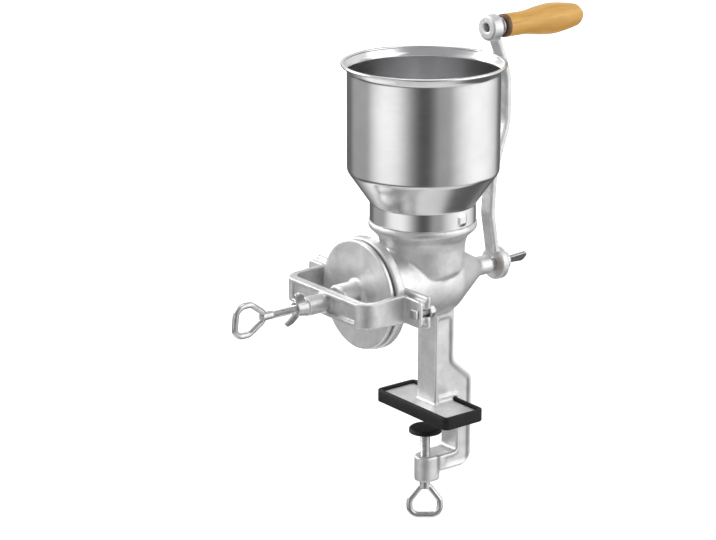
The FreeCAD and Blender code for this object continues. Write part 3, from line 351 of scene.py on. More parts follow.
def rounded_line(corners, radii, closed=False, arc_steps=9, spacing=None):
    """Line through corners whose bends are tangent arcs: an arc starts radius / tan(half angle) from its
    corner, and its points are the two end directions from its centre blended by the sine rule."""
    corners = np.array(corners, float)
    share = np.linspace(0.0, 1.0, arc_steps)[:, None]
    line = []
    for i, corner in enumerate(corners):
        if radii[i] <= 0 or (not closed and i in (0, len(corners) - 1)):
            line.append(corner[None])
            continue
        back = corners[i - 1] - corner
        ahead = corners[(i + 1) % len(corners)] - corner
        back, ahead = back / np.linalg.norm(back), ahead / np.linalg.norm(ahead)
        half = np.arccos(back @ ahead) / 2
        middle = (back + ahead) / np.linalg.norm(back + ahead)
        centre = corner + middle * radii[i] / np.sin(half)
        first = corner + back * radii[i] / np.tan(half) - centre
        last = corner + ahead * radii[i] / np.tan(half) - centre
        turn = np.pi - 2 * half
        swung = np.sin((1 - share) * turn) * first + np.sin(share * turn) * last
        line.append(centre + swung / np.sin(turn))
    line = np.vstack(line + ([line[0][:1]] if closed else []))
    if spacing is not None:
        run = np.r_[0.0, np.cumsum(np.linalg.norm(np.diff(line, axis=0), axis=1))]
        stations = np.unique(np.r_[run, np.arange(0.0, run[-1], spacing)])
        stations = stations[np.r_[True, np.diff(stations) > 1e-7]]
        line = np.stack([np.interp(stations, run, line[:, k]) for k in range(line.shape[1])], 1)
    return line[:-1] if closed else line


def moved_aside(line, distance):
    """Plane line moved to its left by a distance, along its normal at each point."""
    along = np.gradient(line, axis=0)
    along /= np.linalg.norm(along, axis=1)[:, None]
    return line + distance * np.stack([-along[:, 1], along[:, 0]], 1)


def grid_mesh(name, points, rows_close, columns_close=True):
    """Quads between the neighbours of a grid of points of shape (rows, columns, 3). Points that fall
    together, as at a pole, are merged, and the closed surface is turned outwards."""
    rows, columns = points.shape[:2]
    index = np.arange(rows * columns).reshape(rows, columns)
    index = np.vstack([index, index[:1]]) if rows_close else index
    index = np.hstack([index, index[:, :1]]) if columns_close else index
    quads = np.stack([index[:-1, :-1], index[1:, :-1], index[1:, 1:], index[:-1, 1:]], -1)
    mesh = bpy.data.meshes.new(name)
    mesh.from_pydata(points.reshape(-1, 3).tolist(), [], quads.reshape(-1, 4).tolist())
    surface = bmesh.new()
    surface.from_mesh(mesh)
    bmesh.ops.remove_doubles(surface, verts=surface.verts, dist=1e-6)
    bmesh.ops.recalc_face_normals(surface, faces=surface.faces)
    surface.to_mesh(mesh)
    surface.free()
    return mesh


def around(axis, at, along, radius, angle):
    """Points at a radius and angle about a line along X or Z through at, as one array of rows."""
    along, radius, angle = np.broadcast_arrays(along, radius, angle)
    if axis == "x":
        return np.stack([along, at[0] + radius * np.sin(angle), at[1] + radius * np.cos(angle)], -1)
    return np.stack([at[0] + radius * np.cos(angle), at[1] + radius * np.sin(angle), along], -1)


def full_turn(columns):
    """Angles of a ring's points."""
    return np.arange(columns) * 2 * np.pi / columns


def smooth_window(distance, half_width, softness):
    """1 inside a half width and 0 outside, with a smooth edge."""
    share = np.clip((half_width - np.abs(distance)) / softness + 0.5, 0.0, 1.0)
    return share * share * (3 - 2 * share)


def joined(name, *meshes):
    """One mesh from several."""
    whole = bmesh.new()
    for mesh in meshes:
        whole.from_mesh(mesh)
    mesh = bpy.data.meshes.new(name)
    whole.to_mesh(mesh)
    whole.free()
    return mesh


def hopper_mesh():
    """The wall's profile carried round Z, inside and outside; near a lock the radius rises by the rise
    times a window in angle and a window in height. The bead is a ring on the lip's edge."""
    low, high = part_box("hopper_shell")
    wall_r = high.x - BEAD_R - FLARE
    seat, lip = low.z, high.z - BEAD_R
    cone_top = seat + NECK_H + CONE_H
    corners = [(NECK_R, seat), (NECK_R, seat + NECK_H), (wall_r, cone_top),
               (wall_r, lip - FLARE_H), (wall_r + FLARE, lip)]
    outside = rounded_line(corners, BEND_RADII, spacing=HOPPER_SPACING)
    inside = moved_aside(outside, WALL)[::-1]
    profile = np.vstack([outside, inside])
    angle = full_turn(HOPPER_COLUMNS)[None, :]
    radius, height = profile[:, :1], profile[:, 1:]
    pressed = np.zeros((len(profile), HOPPER_COLUMNS))
    for lock in LOCK_AT:
        turned = (angle - lock + np.pi) % (2 * np.pi) - np.pi
        across = smooth_window(turned * NECK_R, LOCK_HALF_TURN * NECK_R, LOCK_SOFT)
        pressed = pressed + across * smooth_window(height - seat - NECK_H / 2, LOCK_HALF_H, LOCK_SOFT)
    sheet = grid_mesh("hopper_sheet", around("z", (0, 0), height, radius + LOCK_RISE * pressed, angle), True)
    roll = full_turn(BEAD_ROWS)[:, None]
    bead = grid_mesh("hopper_bead", around(
        "z", (0, 0), lip + BEAD_R * np.sin(roll), wall_r + FLARE + BEAD_R * np.cos(roll), angle), True)
    return joined("hopper", sheet, bead)


def polished_sheet():
    """Bright stainless with faint polishing lines that run round the hopper."""
    made, tree, surface = new_material("polished_sheet", {"Metallic": 1.0})
    place = shader(tree, "TexCoord").outputs["Object"]
    drawn_out = shader(tree, "Mapping", {"Vector": place, "Scale": (45.0, 45.0, 2600.0)}).outputs["Vector"]
    lines = shader(tree, "TexNoise", {"Vector": drawn_out, "Scale": 1.0, "Detail": 2.0}).outputs["Fac"]
    skin = placed_group(tree, metal_skin, grain_size=0.004, blotch_size=0.05)
    tree.links.new(mixed(tree, skin["Tone"], steel_dull, steel_bright), surface.inputs["Base Color"])
    tree.links.new(spread(tree, lines, 0.3, 0.7, 0.17, 0.23), surface.inputs["Roughness"])
    raised(tree, surface, lines, 0.000006)
    return made


stands_for(new_piece(hopper_mesh()), polished_sheet(), "hopper_shell")


# ---- Auger and grinding plates ---------------------------------------------------------------
# Chill-cast iron: the auger carries the grain out through the fixed plate, and the plates' grooved
# faces are ground flat. Three countersunk screws hold each plate.
iron_bright = (0.45, 0.45, 0.45, 1.0)
iron_dark = (0.26, 0.26, 0.265, 1.0)
ground_iron = skinned_metal("ground_iron", iron_bright, iron_dark, 0.34, 0.5, 0.0008, 0.009, 0.0001)
zinc_bright = (0.74, 0.74, 0.75, 1.0)
zinc_dull = (0.55, 0.55, 0.56, 1.0)
zinc_steel = skinned_metal("zinc_steel", zinc_bright, zinc_dull, 0.24, 0.36, 0.0007, 0.007, 0.00006)

dressed("feed_auger", skinned_metal("tinned_auger", tin_pale, tin_dull, 0.36, 0.5, 0.0012, 0.012, 0.0002))
dressed("fixed_plate", ground_iron)
dressed("turning_plate", ground_iron)
for screws in ("fixed_plate_screws", "turning_plate_screws"):
    dressed(screws, zinc_steel)


# ---- Plate holder, cross pin and thrust ball -------------------------------------------------
# The holder is a cast disc with a long hub, tinned as the body is, and pinned to the auger's shaft.
# A steel ball in the hub takes the push of the adjusting screw.
HOLDER_VOXEL = 0.0009
HOLDER_ROUNDS = 3

# The holder's tin is painted lighter than the body's: painted light on its disc.
holder_lit_bright = (0.90, 0.90, 0.90, 1.0)
holder_lit_dull = (0.70, 0.70, 0.70, 1.0)
holder_tin_lit = skinned_metal("tinned_holder_lit", holder_lit_bright, holder_lit_dull, 0.34, 0.5, 0.0014, 0.02, 0.0003, 0.84)
stands_for(cast_copy("plate_holder", HOLDER_VOXEL, HOLDER_ROUNDS), holder_tin_lit, "plate_holder")
dressed("drive_pin", zinc_steel)
dressed("thrust_ball", zinc_steel)


# ---- Yoke ------------------------------------------------------------------------------------
# Tinned casting: a bar with a sunk web, a threaded boss, two arms and two ears that lie against
# the ears of the body.
YOKE_VOXEL = 0.00085

stands_for(cast_copy("yoke", YOKE_VOXEL, CAST_ROUNDS), cast_tin, "yoke")


# ---- Yoke bolts, washers and nuts ------------------------------------------------------------
# Square-headed zinc plated bolts. They slide out of the open slots once their nuts are slack.
THREAD_DEPTH = 0.55                 # share of the pitch
BOLT_R = 0.00325
BOLT_PITCH = 0.001
BOLT_HEAD = 0.009                   # across the flats
BOLT_HEAD_T = 0.0035
BOLT_EDGE = 0.0006
WASHER_EDGE = 0.00025
NUT_EDGE = 0.0005


def threaded_mesh(name, axis, at, start, end, crest, pitch, columns=28, steps=8):
    """Rod along an axis whose radius falls below the crest by a triangle wave. The wave's phase is the
    distance in pitches less the angle in turns, and it fades out over the first and last pitch."""
    along = np.linspace(start, end, int(abs(end - start) / pitch * steps) + 1)[:, None]
    angle = full_turn(columns)[None, :]
    phase = (along / pitch - angle / (2 * np.pi)) % 1.0
    near_end = np.clip(np.minimum(along - start, end - along) / pitch, 0.0, 1.0)
    chamfer = (1 - np.clip((end - along) / pitch, 0.0, 1.0)) * THREAD_DEPTH * pitch
    radius = crest - THREAD_DEPTH * pitch * np.abs(2 * phase - 1) * near_end - chamfer
    radius = np.vstack([np.zeros((1, columns)), radius, np.zeros((1, columns))])
    along = np.vstack([along[:1], along, along[-1:]])
    return grid_mesh(name, around(axis, at, along, radius, angle), False)


def bevelled_box_mesh(name, low, high, width):
    """Box with its edges broken."""
    box = bmesh.new()
    bmesh.ops.create_cube(box, size=1.0)
    middle, size = (np.array(low) + high) / 2, np.array(high) - low
    for corner in box.verts:
        corner.co = middle + np.array(corner.co) * size
    bmesh.ops.bevel(box, geom=box.edges[:], offset=width, segments=2, affect="EDGES", profile=0.5)
    mesh = bpy.data.meshes.new(name)
    box.to_mesh(mesh)
    box.free()
    return mesh


def yoke_bolt_meshes():
    """Head and threaded shank of both bolts."""
    low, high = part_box("yoke_bolts")
    half, z = BOLT_HEAD / 2, (low.z + high.z) / 2
    meshes = []
    for y in (low.y + half, high.y - half):
        head_low = (low.x, y - half, z - half)
        head_high = (low.x + BOLT_HEAD_T, y + half, z + half)
        meshes.append(bevelled_box_mesh("head", head_low, head_high, BOLT_EDGE))
        start = low.x + BOLT_HEAD_T / 2
        meshes.append(threaded_mesh("shank", "x", (y, z), start, high.x, BOLT_R, BOLT_PITCH))
    return meshes


stands_for(new_piece(joined("yoke_bolts_zinc", *yoke_bolt_meshes())), zinc_steel, "yoke_bolts")
stands_for(edged_copy("yoke_washers", WASHER_EDGE), zinc_steel, "yoke_washers")
stands_for(edged_copy("yoke_nuts", NUT_EDGE), zinc_steel, "yoke_nuts")


# ---- Adjusting screw and its wing nut --------------------------------------------------------
# Zinc plated screw whose cast ring handle is turned by a finger. It pushes on the thrust ball,
# and the wing nut locks it against the yoke's boss.
RING_WIDE = 0.036
RING_LONG = 0.0345
RING_WIRE_R = 0.003
RING_MOUTH = 0.0045                 # half the width at the root, where the bar meets the screw
RING_SUNK = 0.0015                  # of the bar's line into the screw there
RING_BENDS = (0.004, 0.007, 0.009, 0.009, 0.007, 0.004)
SHANK_L = 0.009                     # plain length between ring and thread
SHANK_SUNK = 0.003                  # of the shank into the ring
THREAD_SUNK = 0.001                 # of the thread into the shank
ROD_CHAMFER = 0.0005
SMALL_CAST_VOXEL = 0.0004           # for wing nut and thumb screw
MELT_VOXEL = 0.0005                 # for ring and shank melted into one
SMALL_ROUNDS = 5
ADJUST_R = 0.004
ADJUST_PITCH = 0.00125
ADJUST_RING_TURN = radians(8.0)


def ring_handle_mesh(name):
    """Stirrup that hangs from the origin along -Z in the XZ plane: a round bar carried along a rounded
    outline, each section lying between the outline's own normal and Y."""
    half, low = RING_WIDE / 2 - RING_WIRE_R, RING_WIRE_R - RING_LONG
    corners = [(-RING_MOUTH, -RING_SUNK), (-half, low / 2), (-half, low),
               (half, low), (half, low / 2), (RING_MOUTH, -RING_SUNK)]
    outline = rounded_line(corners, RING_BENDS, closed=True, spacing=0.0012)
    along = np.roll(outline, -1, axis=0) - np.roll(outline, 1, axis=0)
    along /= np.linalg.norm(along, axis=1)[:, None]
    angle = full_turn(20)[None, :]
    reach = RING_WIRE_R * np.cos(angle)
    x = outline[:, :1] - along[:, 1:] * reach
    y = np.broadcast_to(RING_WIRE_R * np.sin(angle), x.shape)
    z = outline[:, 1:] + along[:, :1] * reach
    return grid_mesh(name, np.stack([x, y, z], -1), True)


def turned_about(mesh, axis, angle, move):
    """The mesh turned about X, Y or Z at the origin and then moved."""
    points = np.empty(len(mesh.vertices) * 3)
    mesh.vertices.foreach_get("co", points)
    points = points.reshape(-1, 3)
    first, second = {"x": (1, 2), "y": (2, 0), "z": (0, 1)}[axis]
    a, b = points[:, first].copy(), points[:, second].copy()
    points[:, first] = a * np.cos(angle) - b * np.sin(angle)
    points[:, second] = a * np.sin(angle) + b * np.cos(angle)
    mesh.vertices.foreach_set("co", (points + np.array(move)).ravel())
    return mesh


def capped_rod_mesh(name, axis, at, start, end, radius, chamfer, columns=40):
    """Plain rod with a chamfer at both ends."""
    along = np.array([start, start, start + chamfer, end - chamfer, end, end])[:, None]
    rings = np.array([0.0, radius - chamfer, radius, radius, radius - chamfer, 0.0])[:, None]
    return grid_mesh(name, around(axis, at, along, rings, full_turn(columns)[None, :]), False)


auger_at = tuple(joints["crank_turn"]["pos_m"][1:])
screw_low, screw_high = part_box("adjusting_screw")
ring_root = screw_low.x + RING_LONG


def adjusting_screw_mesh():
    """Ring and plain shank melted into one, and the threaded rod that grows out of them."""
    ring = turned_about(ring_handle_mesh("ring"), "y", radians(90.0), (0, 0, 0))
    ring = turned_about(ring, "x", ADJUST_RING_TURN, (ring_root, *auger_at))
    shank_end = ring_root + SHANK_L
    shank = capped_rod_mesh("shank", "x", auger_at, ring_root - SHANK_SUNK, shank_end, ADJUST_R, ROD_CHAMFER)
    handle = soft_edged(new_piece(joined("handle", ring, shank)), MELT_VOXEL, SMALL_ROUNDS)
    thread = threaded_mesh(
        "thread", "x", auger_at, shank_end - THREAD_SUNK, screw_high.x, ADJUST_R, ADJUST_PITCH)
    whole = joined("adjusting_screw_zinc", handle.data, thread)
    bpy.data.objects.remove(handle)
    return whole


stands_for(new_piece(adjusting_screw_mesh()), zinc_steel, "adjusting_screw")
stands_for(cast_copy("wing_lock_nut", SMALL_CAST_VOXEL, SMALL_ROUNDS), zinc_steel, "wing_lock_nut")


# ---- Crank arm and its thumb screw -----------------------------------------------------------
# Tinned casting: a hub with a driving flat, a flat bowed arm that clears the hopper, and a
# threaded eye. The thumb screw in the shaft's end holds the hub on.
ARM_VOXEL = 0.0008

stands_for(cast_copy("crank_arm", ARM_VOXEL, CAST_ROUNDS), cast_tin, "crank_arm")
thumb_screw = cast_copy("crank_thumb_screw", SMALL_CAST_VOXEL, SMALL_ROUNDS)
stands_for(thumb_screw, zinc_steel, "crank_thumb_screw")


# ---- Grip bolt, lock nut and washer ----------------------------------------------------------
# The grip turns on a long bolt that is screwed into the eye and locked there by a thin nut.
GRIP_BOLT_R = 0.004
GRIP_BOLT_PITCH = 0.00125
GRIP_HEAD_R = 0.0065
GRIP_HEAD_T = 0.003
GRIP_WASHER_EDGE = 0.0002

grip_at = tuple(joints["grip_spin"]["pos_m"][1:])


def grip_bolt_mesh():
    """Threaded end, plain shank and a round head with a broken edge."""
    low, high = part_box("grip_bolt")
    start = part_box("grip_washer")[1].x
    thread = threaded_mesh("thread", "x", grip_at, low.x, start, GRIP_BOLT_R, GRIP_BOLT_PITCH)
    head = high.x - GRIP_HEAD_T
    profile = np.array([
        (start - 0.001, 0.0), (start - 0.001, GRIP_BOLT_R), (head, GRIP_BOLT_R), (head, GRIP_HEAD_R - 0.0004),
        (head + 0.0005, GRIP_HEAD_R), (high.x - 0.001, GRIP_HEAD_R), (high.x - 0.0002, 0.004), (high.x, 0.0)])
    shank = around("x", grip_at, profile[:, :1], profile[:, 1:], full_turn(40)[None, :])
    shank = grid_mesh("shank", shank, False)
    return joined("grip_bolt_zinc", thread, shank)


stands_for(new_piece(grip_bolt_mesh()), zinc_steel, "grip_bolt")
stands_for(edged_copy("grip_lock_nut", NUT_EDGE), zinc_steel, "grip_lock_nut")
stands_for(edged_copy("grip_washer", GRIP_WASHER_EDGE), zinc_steel, "grip_washer")


# ---- Wooden grip -----------------------------------------------------------------------------
# Turned from a pale hardwood and lacquered: slim by the arm, swelling to a bulb, rounded at the end.
# The end by the arm is darker, over its end face and the first few millimetres of its side.
GRIP_END_R = 0.0112
GRIP_BULB_R = 0.015
GRIP_BORE_R = 0.00405
GRIP_WELL_R = 0.0068
GRIP_WELL = 0.0083
END_ROUND = 0.0016
DARK_END_REACH = (0.0058, 0.0046)      # from the arm's end: plain wood, and fully darkened
DARK_END_UNEVEN = 0.0012

wood_pale = (0.85, 0.48, 0.101, 1.0)
wood_warm = (0.68, 0.34, 0.054, 1.0)
wood_vein = (0.30, 0.125, 0.028, 1.0)
wood_end = (0.13, 0.055, 0.018, 1.0)


def grip_mesh():
    """Outline from the arm's end over the bulb to the far end, back along the bore. Between its stations
    the outside follows a smooth curve: each stretch is a cubic whose slopes are those of its neighbours."""
    low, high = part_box("wooden_grip")
    length = high.x - low.x
    station = np.array([0.0, 0.15, 0.30, 0.48, 0.64, 0.80, 0.90, 0.96, 1.0])
    size = np.array([
        GRIP_END_R, GRIP_END_R, GRIP_END_R + 0.0002, (GRIP_END_R + GRIP_BULB_R) / 2 + 0.0009, GRIP_BULB_R,
        GRIP_BULB_R - 0.0016, GRIP_BULB_R - 0.0032, GRIP_BULB_R - 0.0048, GRIP_BULB_R - 0.0080])
    slope = np.gradient(size, station)
    share = np.linspace(0.02, 1.0, 90)
    i = np.clip(np.searchsorted(station, share, side="right") - 1, 0, len(station) - 2)
    span = station[i + 1] - station[i]
    t = (share - station[i]) / span
    outside = ((2 * t**3 - 3 * t**2 + 1) * size[i] + (t**3 - 2 * t**2 + t) * span * slope[i]
               + (3 * t**2 - 2 * t**3) * size[i + 1] + (t**3 - t**2) * span * slope[i + 1])
    bend = np.linspace(0.0, np.pi / 2, 7)[:-1]
    near = np.stack([
        low.x + END_ROUND * (1 - np.sin(bend)), GRIP_END_R - END_ROUND * (1 - np.cos(bend))], 1)[::-1]
    near = np.vstack([[(low.x, GRIP_BORE_R)], near[np.argsort(near[:, 0])]])
    body = np.stack([low.x + share * length, outside], 1)
    far = np.array([(high.x, GRIP_WELL_R + 0.0002), (high.x - 0.0004, GRIP_WELL_R),
                    (high.x - GRIP_WELL, GRIP_WELL_R), (high.x - GRIP_WELL, GRIP_BORE_R)])
    body[-1] = (high.x - 0.0002, GRIP_WELL_R + 0.0006)
    line = np.vstack([near, body, far])
    points = around("x", grip_at, line[:, :1], line[:, 1:], full_turn(96)[None, :])
    return grid_mesh("wooden_grip_turned", points, True)


def turned_wood():
    """Grain drawn out along the grip, warm and pale by turns with thin veins, and darker near the end by the arm.
    """
    low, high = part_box("wooden_grip")
    made, tree, surface = new_material("turned_wood", {"Coat Weight": 0.35, "Coat Roughness": 0.22})
    place = shader(tree, "TexCoord").outputs["Object"]
    centred = shader(tree, "Mapping", {"Vector": place, "Location": (-low.x, -grip_at[0], -grip_at[1])})
    centred = centred.outputs["Vector"]
    broad = shader(tree, "Mapping", {"Vector": centred, "Scale": (14.0, 90.0, 90.0)}).outputs["Vector"]
    waves = shader(tree, "TexNoise", {"Vector": broad, "Scale": 1.0, "Detail": 4.0, "Distortion": 0.6})
    fine = shader(tree, "Mapping", {"Vector": centred, "Scale": (55.0, 900.0, 900.0)}).outputs["Vector"]
    pores = shader(tree, "TexNoise", {"Vector": fine, "Scale": 1.0, "Detail": 3.0})
    tone = mixed(tree, spread(tree, waves.outputs["Fac"], 0.35, 0.65), wood_warm, wood_pale)
    vein = spread(tree, pores.outputs["Fac"], 0.62, 0.75, 0.0, 0.55)
    tone = mixed(tree, vein, tone, wood_vein)
    along = shader(tree, "SeparateXYZ", {"Vector": centred}).outputs["X"]
    # The edge of the darker end wanders a little with the pores.
    uneven = figured(tree, "MULTIPLY_ADD", pores.outputs["Fac"], DARK_END_UNEVEN, along)
    darker_end = spread(tree, uneven, *DARK_END_REACH)
    tree.links.new(mixed(tree, darker_end, tone, wood_end), surface.inputs["Base Color"])
    tree.links.new(spread(tree, pores.outputs["Fac"], 0.4, 0.7, 0.38, 0.52), surface.inputs["Roughness"])
    raised(tree, surface, pores.outputs["Fac"], 0.00008)
    return made


stands_for(new_piece(grip_mesh()), turned_wood(), "wooden_grip")


# ---- Clamp screw, swivel foot and cap --------------------------------------------------------
# A screw with a ring handle like the adjusting screw's. A rivet holds the steel foot on its neck,
# and a moulded rubber cap over the foot grips the underside of the table.
CLAMP_R = 0.005
CLAMP_PITCH = 0.0015
CLAMP_RING_TURN = radians(-38.0)
NECK_R_SCREW = 0.0038
SHOULDER_PLAY = 0.0003              # between thread and foot
NECK_SUNK = 0.001                   # of the neck into the thread
NECK_CHAMFER = 0.0002
FOOT_EDGE = 0.0004
FOOT_R = 0.016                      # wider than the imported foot: the cup's inner wall stands outside its rim
CAP_ROUND = 0.0013

clamp_at = tuple(joints["clamp_screw_turn"]["pos_m"][:2])
clamp_low, clamp_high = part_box("clamp_screw")
clamp_ring_root = clamp_low.z + RING_LONG


def clamp_screw_mesh():
    """Ring and plain shank melted into one, the threaded rod, and the neck that carries the foot."""
    ring = turned_about(ring_handle_mesh("ring"), "z", CLAMP_RING_TURN, (*clamp_at, clamp_ring_root))
    shank_end = clamp_ring_root + SHANK_L
    shank = capped_rod_mesh(
        "shank", "z", clamp_at, clamp_ring_root - SHANK_SUNK, shank_end, CLAMP_R, ROD_CHAMFER)
    handle = soft_edged(new_piece(joined("handle", ring, shank)), MELT_VOXEL, SMALL_ROUNDS)
    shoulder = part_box("swivel_foot")[0].z - SHOULDER_PLAY
    thread = threaded_mesh(
        "thread", "z", clamp_at, shank_end - THREAD_SUNK, shoulder, CLAMP_R, CLAMP_PITCH, columns=32)
    neck = capped_rod_mesh(
        "neck", "z", clamp_at, shoulder - NECK_SUNK, clamp_high.z, NECK_R_SCREW, NECK_CHAMFER)
    whole = joined("clamp_screw_zinc", handle.data, thread, neck)
    bpy.data.objects.remove(handle)
    return whole


def cap_mesh():
    """Cup turned about the screw: over the rounded top edge, down the side, and up to the foot's top."""
    low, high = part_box("swivel_cap")
    outer = (high.x - low.x) / 2
    bend = np.linspace(0.0, np.pi / 2, 7)
    top = np.stack([outer - CAP_ROUND * (1 - np.sin(bend)), high.z - CAP_ROUND * (1 - np.cos(bend))], 1)
    foot_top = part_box("swivel_foot")[1].z
    line = np.vstack([
        [(0.0, high.z), (outer * 0.6, high.z)], top, [(outer, low.z + 0.0005), (outer - 0.0005, low.z)],
        [(FOOT_R + 0.0001, low.z), (FOOT_R, low.z + 0.0002), (FOOT_R, foot_top), (0.0, foot_top)]])
    points = around("z", clamp_at, line[:, 1:], line[:, :1], full_turn(72)[None, :])
    return grid_mesh("swivel_cap_rubber", points, False)


stands_for(new_piece(clamp_screw_mesh()), zinc_steel, "clamp_screw")
stands_for(edged_copy("swivel_foot", FOOT_EDGE), zinc_steel, "swivel_foot")
stands_for(new_piece(cap_mesh()), black_rubber, "swivel_cap")
dressed("swivel_rivet", zinc_steel)


# ---- Studio ----------------------------------------------------------------------------------
# A plain pale floor and surround under soft lamps. Polished metal sees broad white and dark cards
# that stand round the mill, which give its round wall upright bands of light.
LET_DOWN = 0.026                    # room under the ring handle for the clamp to be opened
FLOOR_Z = cad_box[0].z - LET_DOWN
FLOOR_HALF = 9.0
CAMERA_AT = (-1.3243, -1.6251, 0.7939)
CAMERA_TURN = -37.5                 # degrees from facing along +Y
CAMERA_TIP = 17.2                   # degrees below level
LENS = 115.64                       # focal length in mm
SENSOR = 36.0                       # width in mm

floor_white = (0.86, 0.86, 0.86, 1.0)
LIT_FLOOR = (0.40, 1.0)             # under the mill, and out where the lamps no longer reach
LIT_WITHIN = (0.25, 1.6)

# Cards round the mill, as a polished face sees them. Middle and half width are angles round the mill in
# degrees, from the camera's side of it and positive to the camera's right. Low and high are the upright
# part of the direction, from -1 straight down to 1 straight up.
SURROUND = 0.34
OVERHEAD = 0.78
OVERHEAD_FROM = (-0.04, 0.14)       # upright part over which the light overhead begins
OVERHEAD_AWAY = (0.75, 0.2)         # and cosine from the camera's side over which it grows
TOP_FADE = (0.75, 0.50, 0.12, 1.0)  # it sinks to 0.12 straight above
UNDERFOOT = 0.72
UNDERFOOT_FROM = (-0.58, -0.70)
CARD_FADE = 0.05                    # half the upright width of a card's edges
MATT_LIGHT = 0.44                   # of the world on matt faces
POLISHED_LIGHT = 1.1                # and of the cards on polished ones
CARDS = {
    "white_left": dict(middle=-57.5, half=21.5, low=-0.44, high=-0.06, bright=1.0, soft=14.0),
    "white_right": dict(middle=91.0, half=31.0, low=-0.54, high=0.08, bright=1.02, soft=21.0),
    "dark_by_camera": dict(middle=0.0, half=13.0, low=-0.62, high=0.05, bright=0.08, soft=8.0),
    "dark_behind": dict(middle=-177.0, half=41.0, low=-0.52, high=-0.10, bright=0.12, soft=6.0),
    "dark_ledge_left": dict(middle=-75.0, half=62.0, low=-0.64, high=-0.46, bright=0.06, soft=9.0),
    "white_below_left": dict(middle=-122.0, half=28.0, low=-0.98, high=-0.70, bright=1.0, soft=9.0),
    "dark_below_right": dict(middle=122.0, half=27.0, low=-0.97, high=-0.44, bright=0.10, soft=8.0),
}


def studio_floor():
    """Pale floor: it takes the lamps' light and shadow, and its own light lifts it to the white around it."""
    made, tree, surface = new_material("studio_floor", {"Roughness": 1.0, "Specular IOR Level": 0.0})
    surface.inputs["Base Color"].default_value = floor_white
    surface.inputs["Emission Color"].default_value = (1.0, 1.0, 1.0, 1.0)
    ray = shader(tree, "LightPath").outputs
    seen = figured(tree, "MAXIMUM", ray["Is Camera Ray"], ray["Is Glossy Ray"])
    seen = figured(tree, "MAXIMUM", seen, ray["Is Transmission Ray"])
    place = shader(tree, "TexCoord").outputs["Object"]
    out = shader(tree, "VectorMath", {0: place}, operation="LENGTH").outputs["Value"]
    lift = spread(tree, out, *LIT_WITHIN, *LIT_FLOOR)
    tree.links.new(figured(tree, "MULTIPLY", seen, lift), surface.inputs["Emission Strength"])
    return made


def floor_mesh():
    """Flat sheet that reaches past every view."""
    corners = np.array([(-1, -1, 0), (1, -1, 0), (1, 1, 0), (-1, 1, 0)]) * FLOOR_HALF + (0, 0, FLOOR_Z)
    mesh = bpy.data.meshes.new("floor")
    mesh.from_pydata(corners.tolist(), [], [(0, 1, 2, 3)])
    return mesh


floor = new_piece(floor_mesh())
floor.data.materials.append(studio_floor())
floor.visible_glossy = False


def around_mill(tree, level, degrees):
    """Cosine of the angle between a level direction and the one at this many degrees round the mill."""
    angle = radians(degrees + CAMERA_TURN - 90.0)
    towards = (cos(angle), sin(angle), 0.0)
    return shader(tree, "VectorMath", {0: level, 1: towards}, operation="DOT_PRODUCT").outputs["Value"]


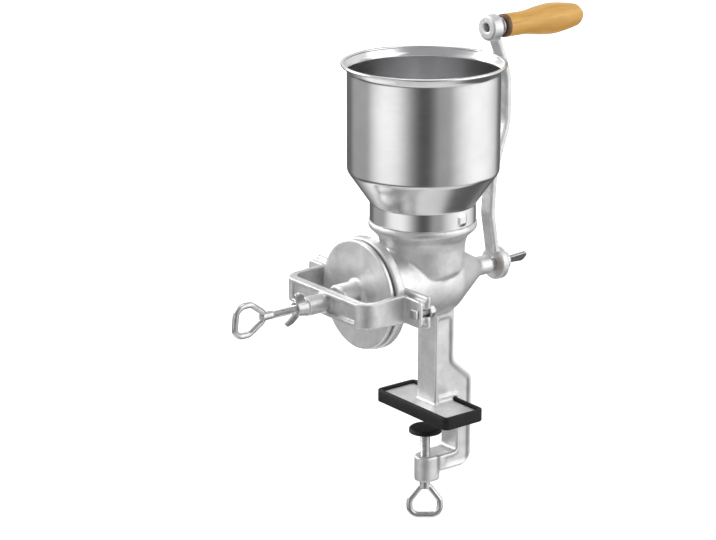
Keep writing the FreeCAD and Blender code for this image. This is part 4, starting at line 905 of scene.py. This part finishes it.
def studio_world():
    """White to the eye, plain soft light on matt surfaces, and the cards to polished ones."""
    world = bpy.data.worlds.new("studio")
    world.use_nodes = True
    tree = world.node_tree
    tree.nodes.clear()
    ray = shader(tree, "LightPath").outputs
    way = shader(tree, "TexCoord").outputs["Generated"]
    rise = shader(tree, "SeparateXYZ", {"Vector": way}).outputs["Z"]
    level = shader(tree, "VectorMath", {0: way, 1: (1.0, 1.0, 0.0)}, operation="MULTIPLY").outputs[0]
    level = shader(tree, "VectorMath", {0: level}, operation="NORMALIZE").outputs[0]
    from_camera = around_mill(tree, level, 0.0)
    cards = (SURROUND, SURROUND, SURROUND, 1.0)
    above, away = spread(tree, rise, *OVERHEAD_FROM), spread(tree, from_camera, *OVERHEAD_AWAY)
    ring = figured(tree, "MULTIPLY", away, above)
    ring = figured(tree, "MULTIPLY", ring, spread(tree, rise, *TOP_FADE))
    cards = mixed(tree, ring, cards, (OVERHEAD, OVERHEAD, OVERHEAD, 1.0))
    below = spread(tree, rise, *UNDERFOOT_FROM)
    cards = mixed(tree, below, cards, (UNDERFOOT, UNDERFOOT, UNDERFOOT, 1.0))
    for card in CARDS.values():
        edges = [cos(radians(card["half"] + side * card["soft"])) for side in (1, -1)]
        across = spread(tree, around_mill(tree, level, card["middle"]), *edges)
        over = spread(tree, rise, card["low"] - CARD_FADE, card["low"] + CARD_FADE)
        under = spread(tree, rise, card["high"] + CARD_FADE, card["high"] - CARD_FADE)
        upright = figured(tree, "MULTIPLY", over, under)
        cards = mixed(tree, figured(tree, "MULTIPLY", across, upright), cards, (*[card["bright"]] * 3, 1.0))
    matt = shader(tree, "Background", {"Color": (1.0, 1.0, 1.0, 1.0), "Strength": MATT_LIGHT}).outputs[0]
    polished = shader(tree, "Background", {"Color": cards, "Strength": POLISHED_LIGHT}).outputs[0]
    white = shader(tree, "Background", {"Color": (1.0, 1.0, 1.0, 1.0), "Strength": 1.0}).outputs[0]
    lit = shader(tree, "MixShader", {0: ray["Is Glossy Ray"], 1: matt, 2: polished}).outputs[0]
    clear = figured(tree, "MAXIMUM", ray["Is Camera Ray"], ray["Is Transmission Ray"])
    seen = shader(tree, "MixShader", {0: clear, 1: lit, 2: white}).outputs[0]
    shader(tree, "OutputWorld", {"Surface": seen})
    bpy.context.scene.world = world


def softbox(name, at, size, power):
    """Square lamp that faces the middle of the mill."""
    lamp = bpy.data.lights.new(name, "AREA")
    lamp.size = size
    lamp.energy = power
    stand = bpy.data.objects.new(name, lamp)
    bpy.context.scene.collection.objects.link(stand)
    middle = (cad_box[0] + cad_box[1]) / 2
    stand.location = at
    stand.rotation_euler = (middle - stand.location).to_track_quat("-Z", "Y").to_euler()


# The fill stands behind on the left, clear of what the wall and the plate holder mirror to views from the front.
studio_world()
softbox("key", (1.3, -2.3, 1.4), 3.2, 35.0)
softbox("fill", (-1.1, 1.9, 1.0), 1.6, 28.0)
softbox("top", (0.1, 0.3, 2.3), 1.6, 12.0)

lens = bpy.data.cameras.new("camera")
lens.lens = LENS
lens.sensor_width = SENSOR
camera = bpy.data.objects.new("camera", lens)
camera.location = CAMERA_AT
camera.rotation_euler = (radians(90.0 - CAMERA_TIP), 0.0, radians(CAMERA_TURN))
bpy.context.scene.collection.objects.link(camera)
bpy.context.scene.camera = camera
bpy.context.scene.view_settings.view_transform = "Standard"
